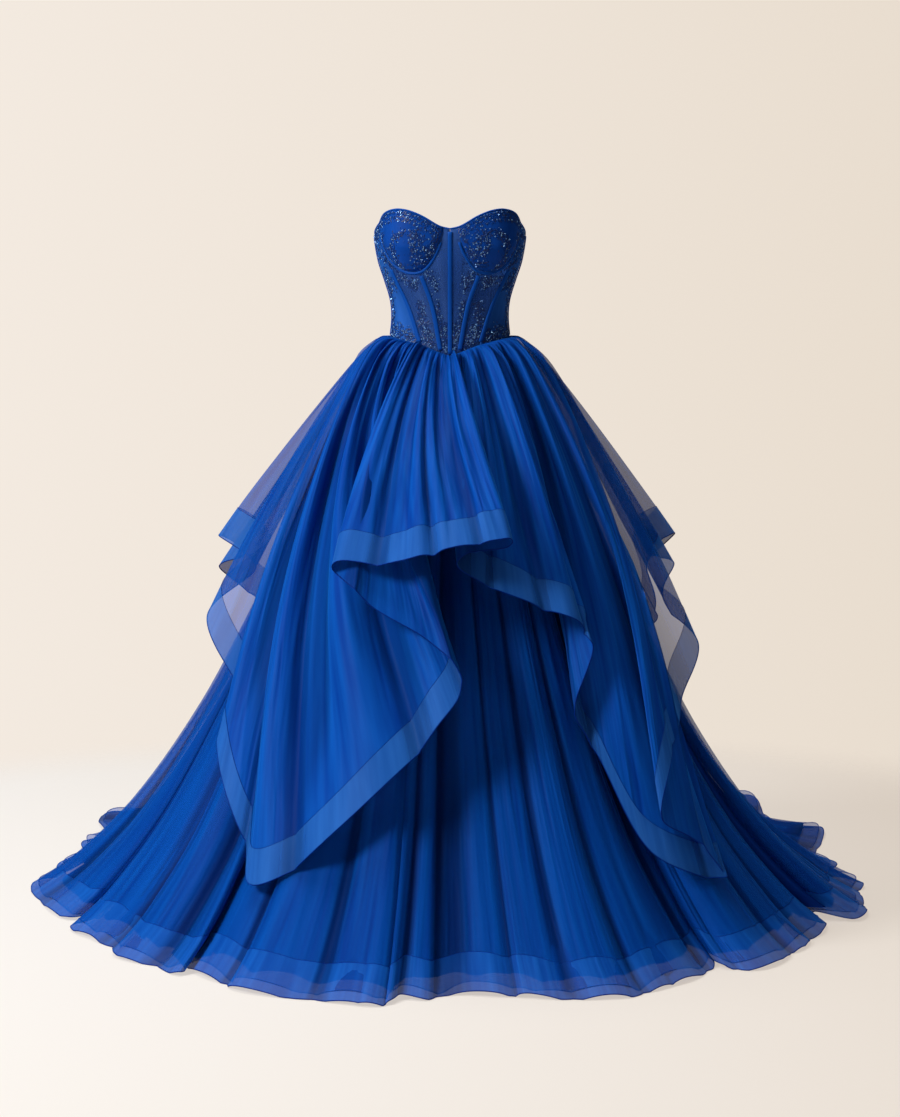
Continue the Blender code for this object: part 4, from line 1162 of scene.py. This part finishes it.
def build_vines(source):
    """Fine cords that join the beads into sprays, laid along each trail in a gentle wave."""
    shapes = []
    for side in (-1, 1):
        for points, spread, count, _ in BEAD_TRAILS:
            for strand in (-1, 1):
                line = np.array(points)
                lengths = np.concatenate([[0.0], np.cumsum(np.linalg.norm(np.diff(line, axis=0), axis=1))])
                place = np.linspace(0, lengths[-1], max(int(lengths[-1] / 0.0016), 6))
                wave = strand * spread * np.sin(place / 0.0075 + source.uniform(0, 6))
                x = np.interp(place, lengths, line[:, 0]) + wave
                z = np.interp(place, lengths, line[:, 1]) + 0.5 * wave
                angle = np.degrees(np.arcsin(np.clip(x / smooth_read(BODY_SECTIONS, z, 1), -0.999, 0.999)))
                kept = clear_of_boning(angle, z)
                for run in np.split(np.arange(len(kept)), np.where(~kept)[0]):
                    run = run[kept[run]]
                    if len(run) > 3:
                        spots, normals = surface_frame(side * angle[run], z[run])
                        line = spots + normals * VINE_LIFT
                        shapes.append(tube_mesh("vine", line, normals, VINE_RADIUS, 5, False))
    finish_piece("lace_vines", join_meshes("lace_vines", shapes), lace_thread)


# ---------------------------------------------------------------- the zip
def build_zip():
    """The tape and the closed teeth. Slider and tab keep their own shapes, so that they can move."""
    slider_low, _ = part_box("zip_slider")
    tape_low, tape_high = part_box("zip_tape")
    reach = math.degrees(0.5 * (tape_high.x - tape_low.x) / TAPE_DEPTH)
    angle = np.linspace(180 - reach, 180 + reach, 17)[:, None]
    height = np.linspace(tape_low.z, tape_high.z, 60)[None, :]
    points = body_point(angle + 0.0 * height, height + 0.0 * angle, -TAPE_SINK)
    tape = cloth_piece("zip_tape_cloth", points, False, (0.024, 0.19), TAPE_WALL, satin_trim,
                       ["zip_tape"])
    count = int((slider_low.z - tape_low.z - 0.003) / TOOTH_PITCH)
    heights = tape_low.z + 0.002 + TOOTH_PITCH * np.arange(count)
    corners = np.array([(x, y, z) for x in (-0.5, 0.5) for y in (-0.5, 0.5) for z in (0.0, 1.0)], float)
    corners[corners[:, 2] > 0.5, :2] *= 0.6
    faces = [[0, 1, 3, 2], [4, 6, 7, 5], [0, 4, 5, 1], [2, 3, 7, 6], [0, 2, 6, 4], [1, 5, 7, 3]]
    rows = []
    for side in (-1, 1):
        spots = body_point(180.0 + 0.0 * heights, heights + side * 0.25 * TOOTH_PITCH, -TOOTH_SINK)
        spots[:, 0] += side * TOOTH_AWAY
        normals = np.tile([0.0, 1.0, 0.0], (count, 1))
        sizes = np.tile(TOOTH_SIZE, (count, 1))
        rows.append(scattered_mesh("teeth", corners, faces, spots, normals, np.zeros(count), sizes))
    teeth = outward(join_meshes("zip_teeth", rows))
    finish_piece("zip_teeth", teeth, painted_zip, smooth=False)
    for name in ("zip_slider", "zip_tab"):
        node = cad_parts[name]
        node.data.materials.clear()
        node.data.materials.append(painted_zip)


# ---------------------------------------------------------------- stage, light and camera
# colours of the floor's painted glow and of the backdrop, from the left and from the right, with painted
# light on the left and painted shade on the right
FLOOR_GLOW_LEFT, FLOOR_GLOW_RIGHT = (0.62, 0.59, 0.56, 1.0), (0.54, 0.465, 0.39, 1.0)
BACKDROP_LIT_LEFT, BACKDROP_SHADED_RIGHT = (0.900, 0.823, 0.745, 1.0), (0.812, 0.723, 0.624, 1.0)

# focal length in millimetres, place, and degrees down from level
CAMERA_LENS = 81.7
CAMERA_PLACE = (0.0, -5.0, 0.066)
CAMERA_TILT = 5.75


def side_to_side(nodes, links, place, reach, left, right):
    """A colour that changes from left to right across a reach on both sides of the middle."""
    share = nodes.new("ShaderNodeMapRange")
    share.inputs["From Min"].default_value = -reach
    share.inputs["From Max"].default_value = reach
    links.new(place, share.inputs["Value"])
    blend = nodes.new("ShaderNodeMix")
    blend.data_type = "RGBA"
    blend.inputs["A"].default_value = left
    blend.inputs["B"].default_value = right
    links.new(share.outputs["Result"], blend.inputs["Factor"])
    return blend.outputs["Result"]


def build_stage():
    bpy.ops.object.select_all(action="DESELECT")
    bpy.ops.mesh.primitive_circle_add(vertices=96, radius=3.2, fill_type="NGON", location=(0, 0, 0))
    floor = bpy.context.active_object
    floor.name = "floor"
    for vertex in floor.data.vertices:
        vertex.co.z = FLOOR - 0.0005
    material = new_finish("floor_paper_painted_glow", (0.30, 0.295, 0.285), 0.9, Specular_IOR_Level=0.05)
    nodes, links = nodes_of(material)
    place = add_node(material, "ShaderNodeTexCoord")
    spread = add_node(material, "ShaderNodeVectorMath", operation="LENGTH")
    links.new(place.outputs["Object"], spread.inputs[0])
    fade = add_node(material, "ShaderNodeMapRange", interpolation_type="SMOOTHSTEP")
    fade.inputs["From Min"].default_value = 1.95
    fade.inputs["From Max"].default_value = 2.40
    fade.inputs["To Min"].default_value = 1.0
    fade.inputs["To Max"].default_value = 0.0
    links.new(spread.outputs["Value"], fade.inputs["Value"])
    shader = nodes["Principled BSDF"]
    links.new(fade.outputs["Result"], shader.inputs["Alpha"])
    parts = add_node(material, "ShaderNodeSeparateXYZ")
    links.new(place.outputs["Object"], parts.inputs[0])
    # painted light: the floor glows, lighter on the left and darker and warmer on the right, which lifts the
    # shadows that the lamps cast on it
    painted_glow = side_to_side(nodes, links, parts.outputs["X"], 1.1, FLOOR_GLOW_LEFT, FLOOR_GLOW_RIGHT)
    links.new(painted_glow, shader.inputs["Emission Color"])
    shader.inputs["Emission Strength"].default_value = 1.0
    floor.data.materials.append(material)


def build_world():
    world = bpy.data.worlds.new("studio")
    bpy.context.scene.world = world
    world.use_nodes = True
    nodes, links = world.node_tree.nodes, world.node_tree.links
    seen = nodes["Background"]
    place = nodes.new("ShaderNodeTexCoord")
    parts = nodes.new("ShaderNodeSeparateXYZ")
    links.new(place.outputs["Generated"], parts.inputs[0])
    # painted light and shade on the backdrop: lighter on the left, darker and warmer on the right
    wall = side_to_side(nodes, links, parts.outputs["X"], 0.18, BACKDROP_LIT_LEFT, BACKDROP_SHADED_RIGHT)
    links.new(wall, seen.inputs["Color"])
    seen.inputs["Strength"].default_value = 1.0
    lit = nodes.new("ShaderNodeBackground")
    lit.inputs["Color"].default_value = (0.93, 0.93, 1.0, 1.0)
    lit.inputs["Strength"].default_value = 0.10
    path = nodes.new("ShaderNodeLightPath")
    blend = nodes.new("ShaderNodeMixShader")
    links.new(path.outputs["Is Camera Ray"], blend.inputs["Fac"])
    links.new(lit.outputs[0], blend.inputs[1])
    links.new(seen.outputs[0], blend.inputs[2])
    links.new(blend.outputs[0], nodes["World Output"].inputs["Surface"])


def add_lamp(name, place, target, size, power, colour):
    lamp = bpy.data.lights.new(name, "AREA")
    lamp.shape = "DISK"
    lamp.size = size
    lamp.energy = power
    lamp.color = colour
    holder = bpy.data.objects.new(name, lamp)
    holder.location = place
    holder.rotation_euler = (Vector(target) - Vector(place)).to_track_quat("-Z", "Y").to_euler()
    bpy.context.scene.collection.objects.link(holder)


def build_lights():
    add_lamp("key", (-3.6, -2.6, 2.2), (0, 0, -0.5), 1.6, 218, (1.0, 0.98, 0.95))
    add_lamp("top", (-0.9, 0.2, 3.4), (0, 0, -0.6), 2.6, 120, (1.0, 0.98, 0.96))
    add_lamp("fill", (3.6, -3.4, 0.6), (0, 0, -0.5), 2.4, 8, (1.0, 0.96, 0.92))


def build_camera():
    camera = bpy.data.cameras.new("camera")
    camera.lens = CAMERA_LENS
    camera.sensor_width = 36.0
    holder = bpy.data.objects.new("camera", camera)
    holder.location = CAMERA_PLACE
    holder.rotation_euler = (math.radians(90.0 - CAMERA_TILT), 0.0, 0.0)
    bpy.context.scene.collection.objects.link(holder)
    bpy.context.scene.camera = holder


build_binding()
build_panels()
build_cups()
build_bones()
build_beadwork()
build_zip()
build_skirts()
build_overskirt()
build_stage()
build_world()
build_lights()
build_camera()
bpy.context.scene.view_settings.view_transform = "Standard"
bpy.context.scene.cycles.transparent_max_bounces = 32
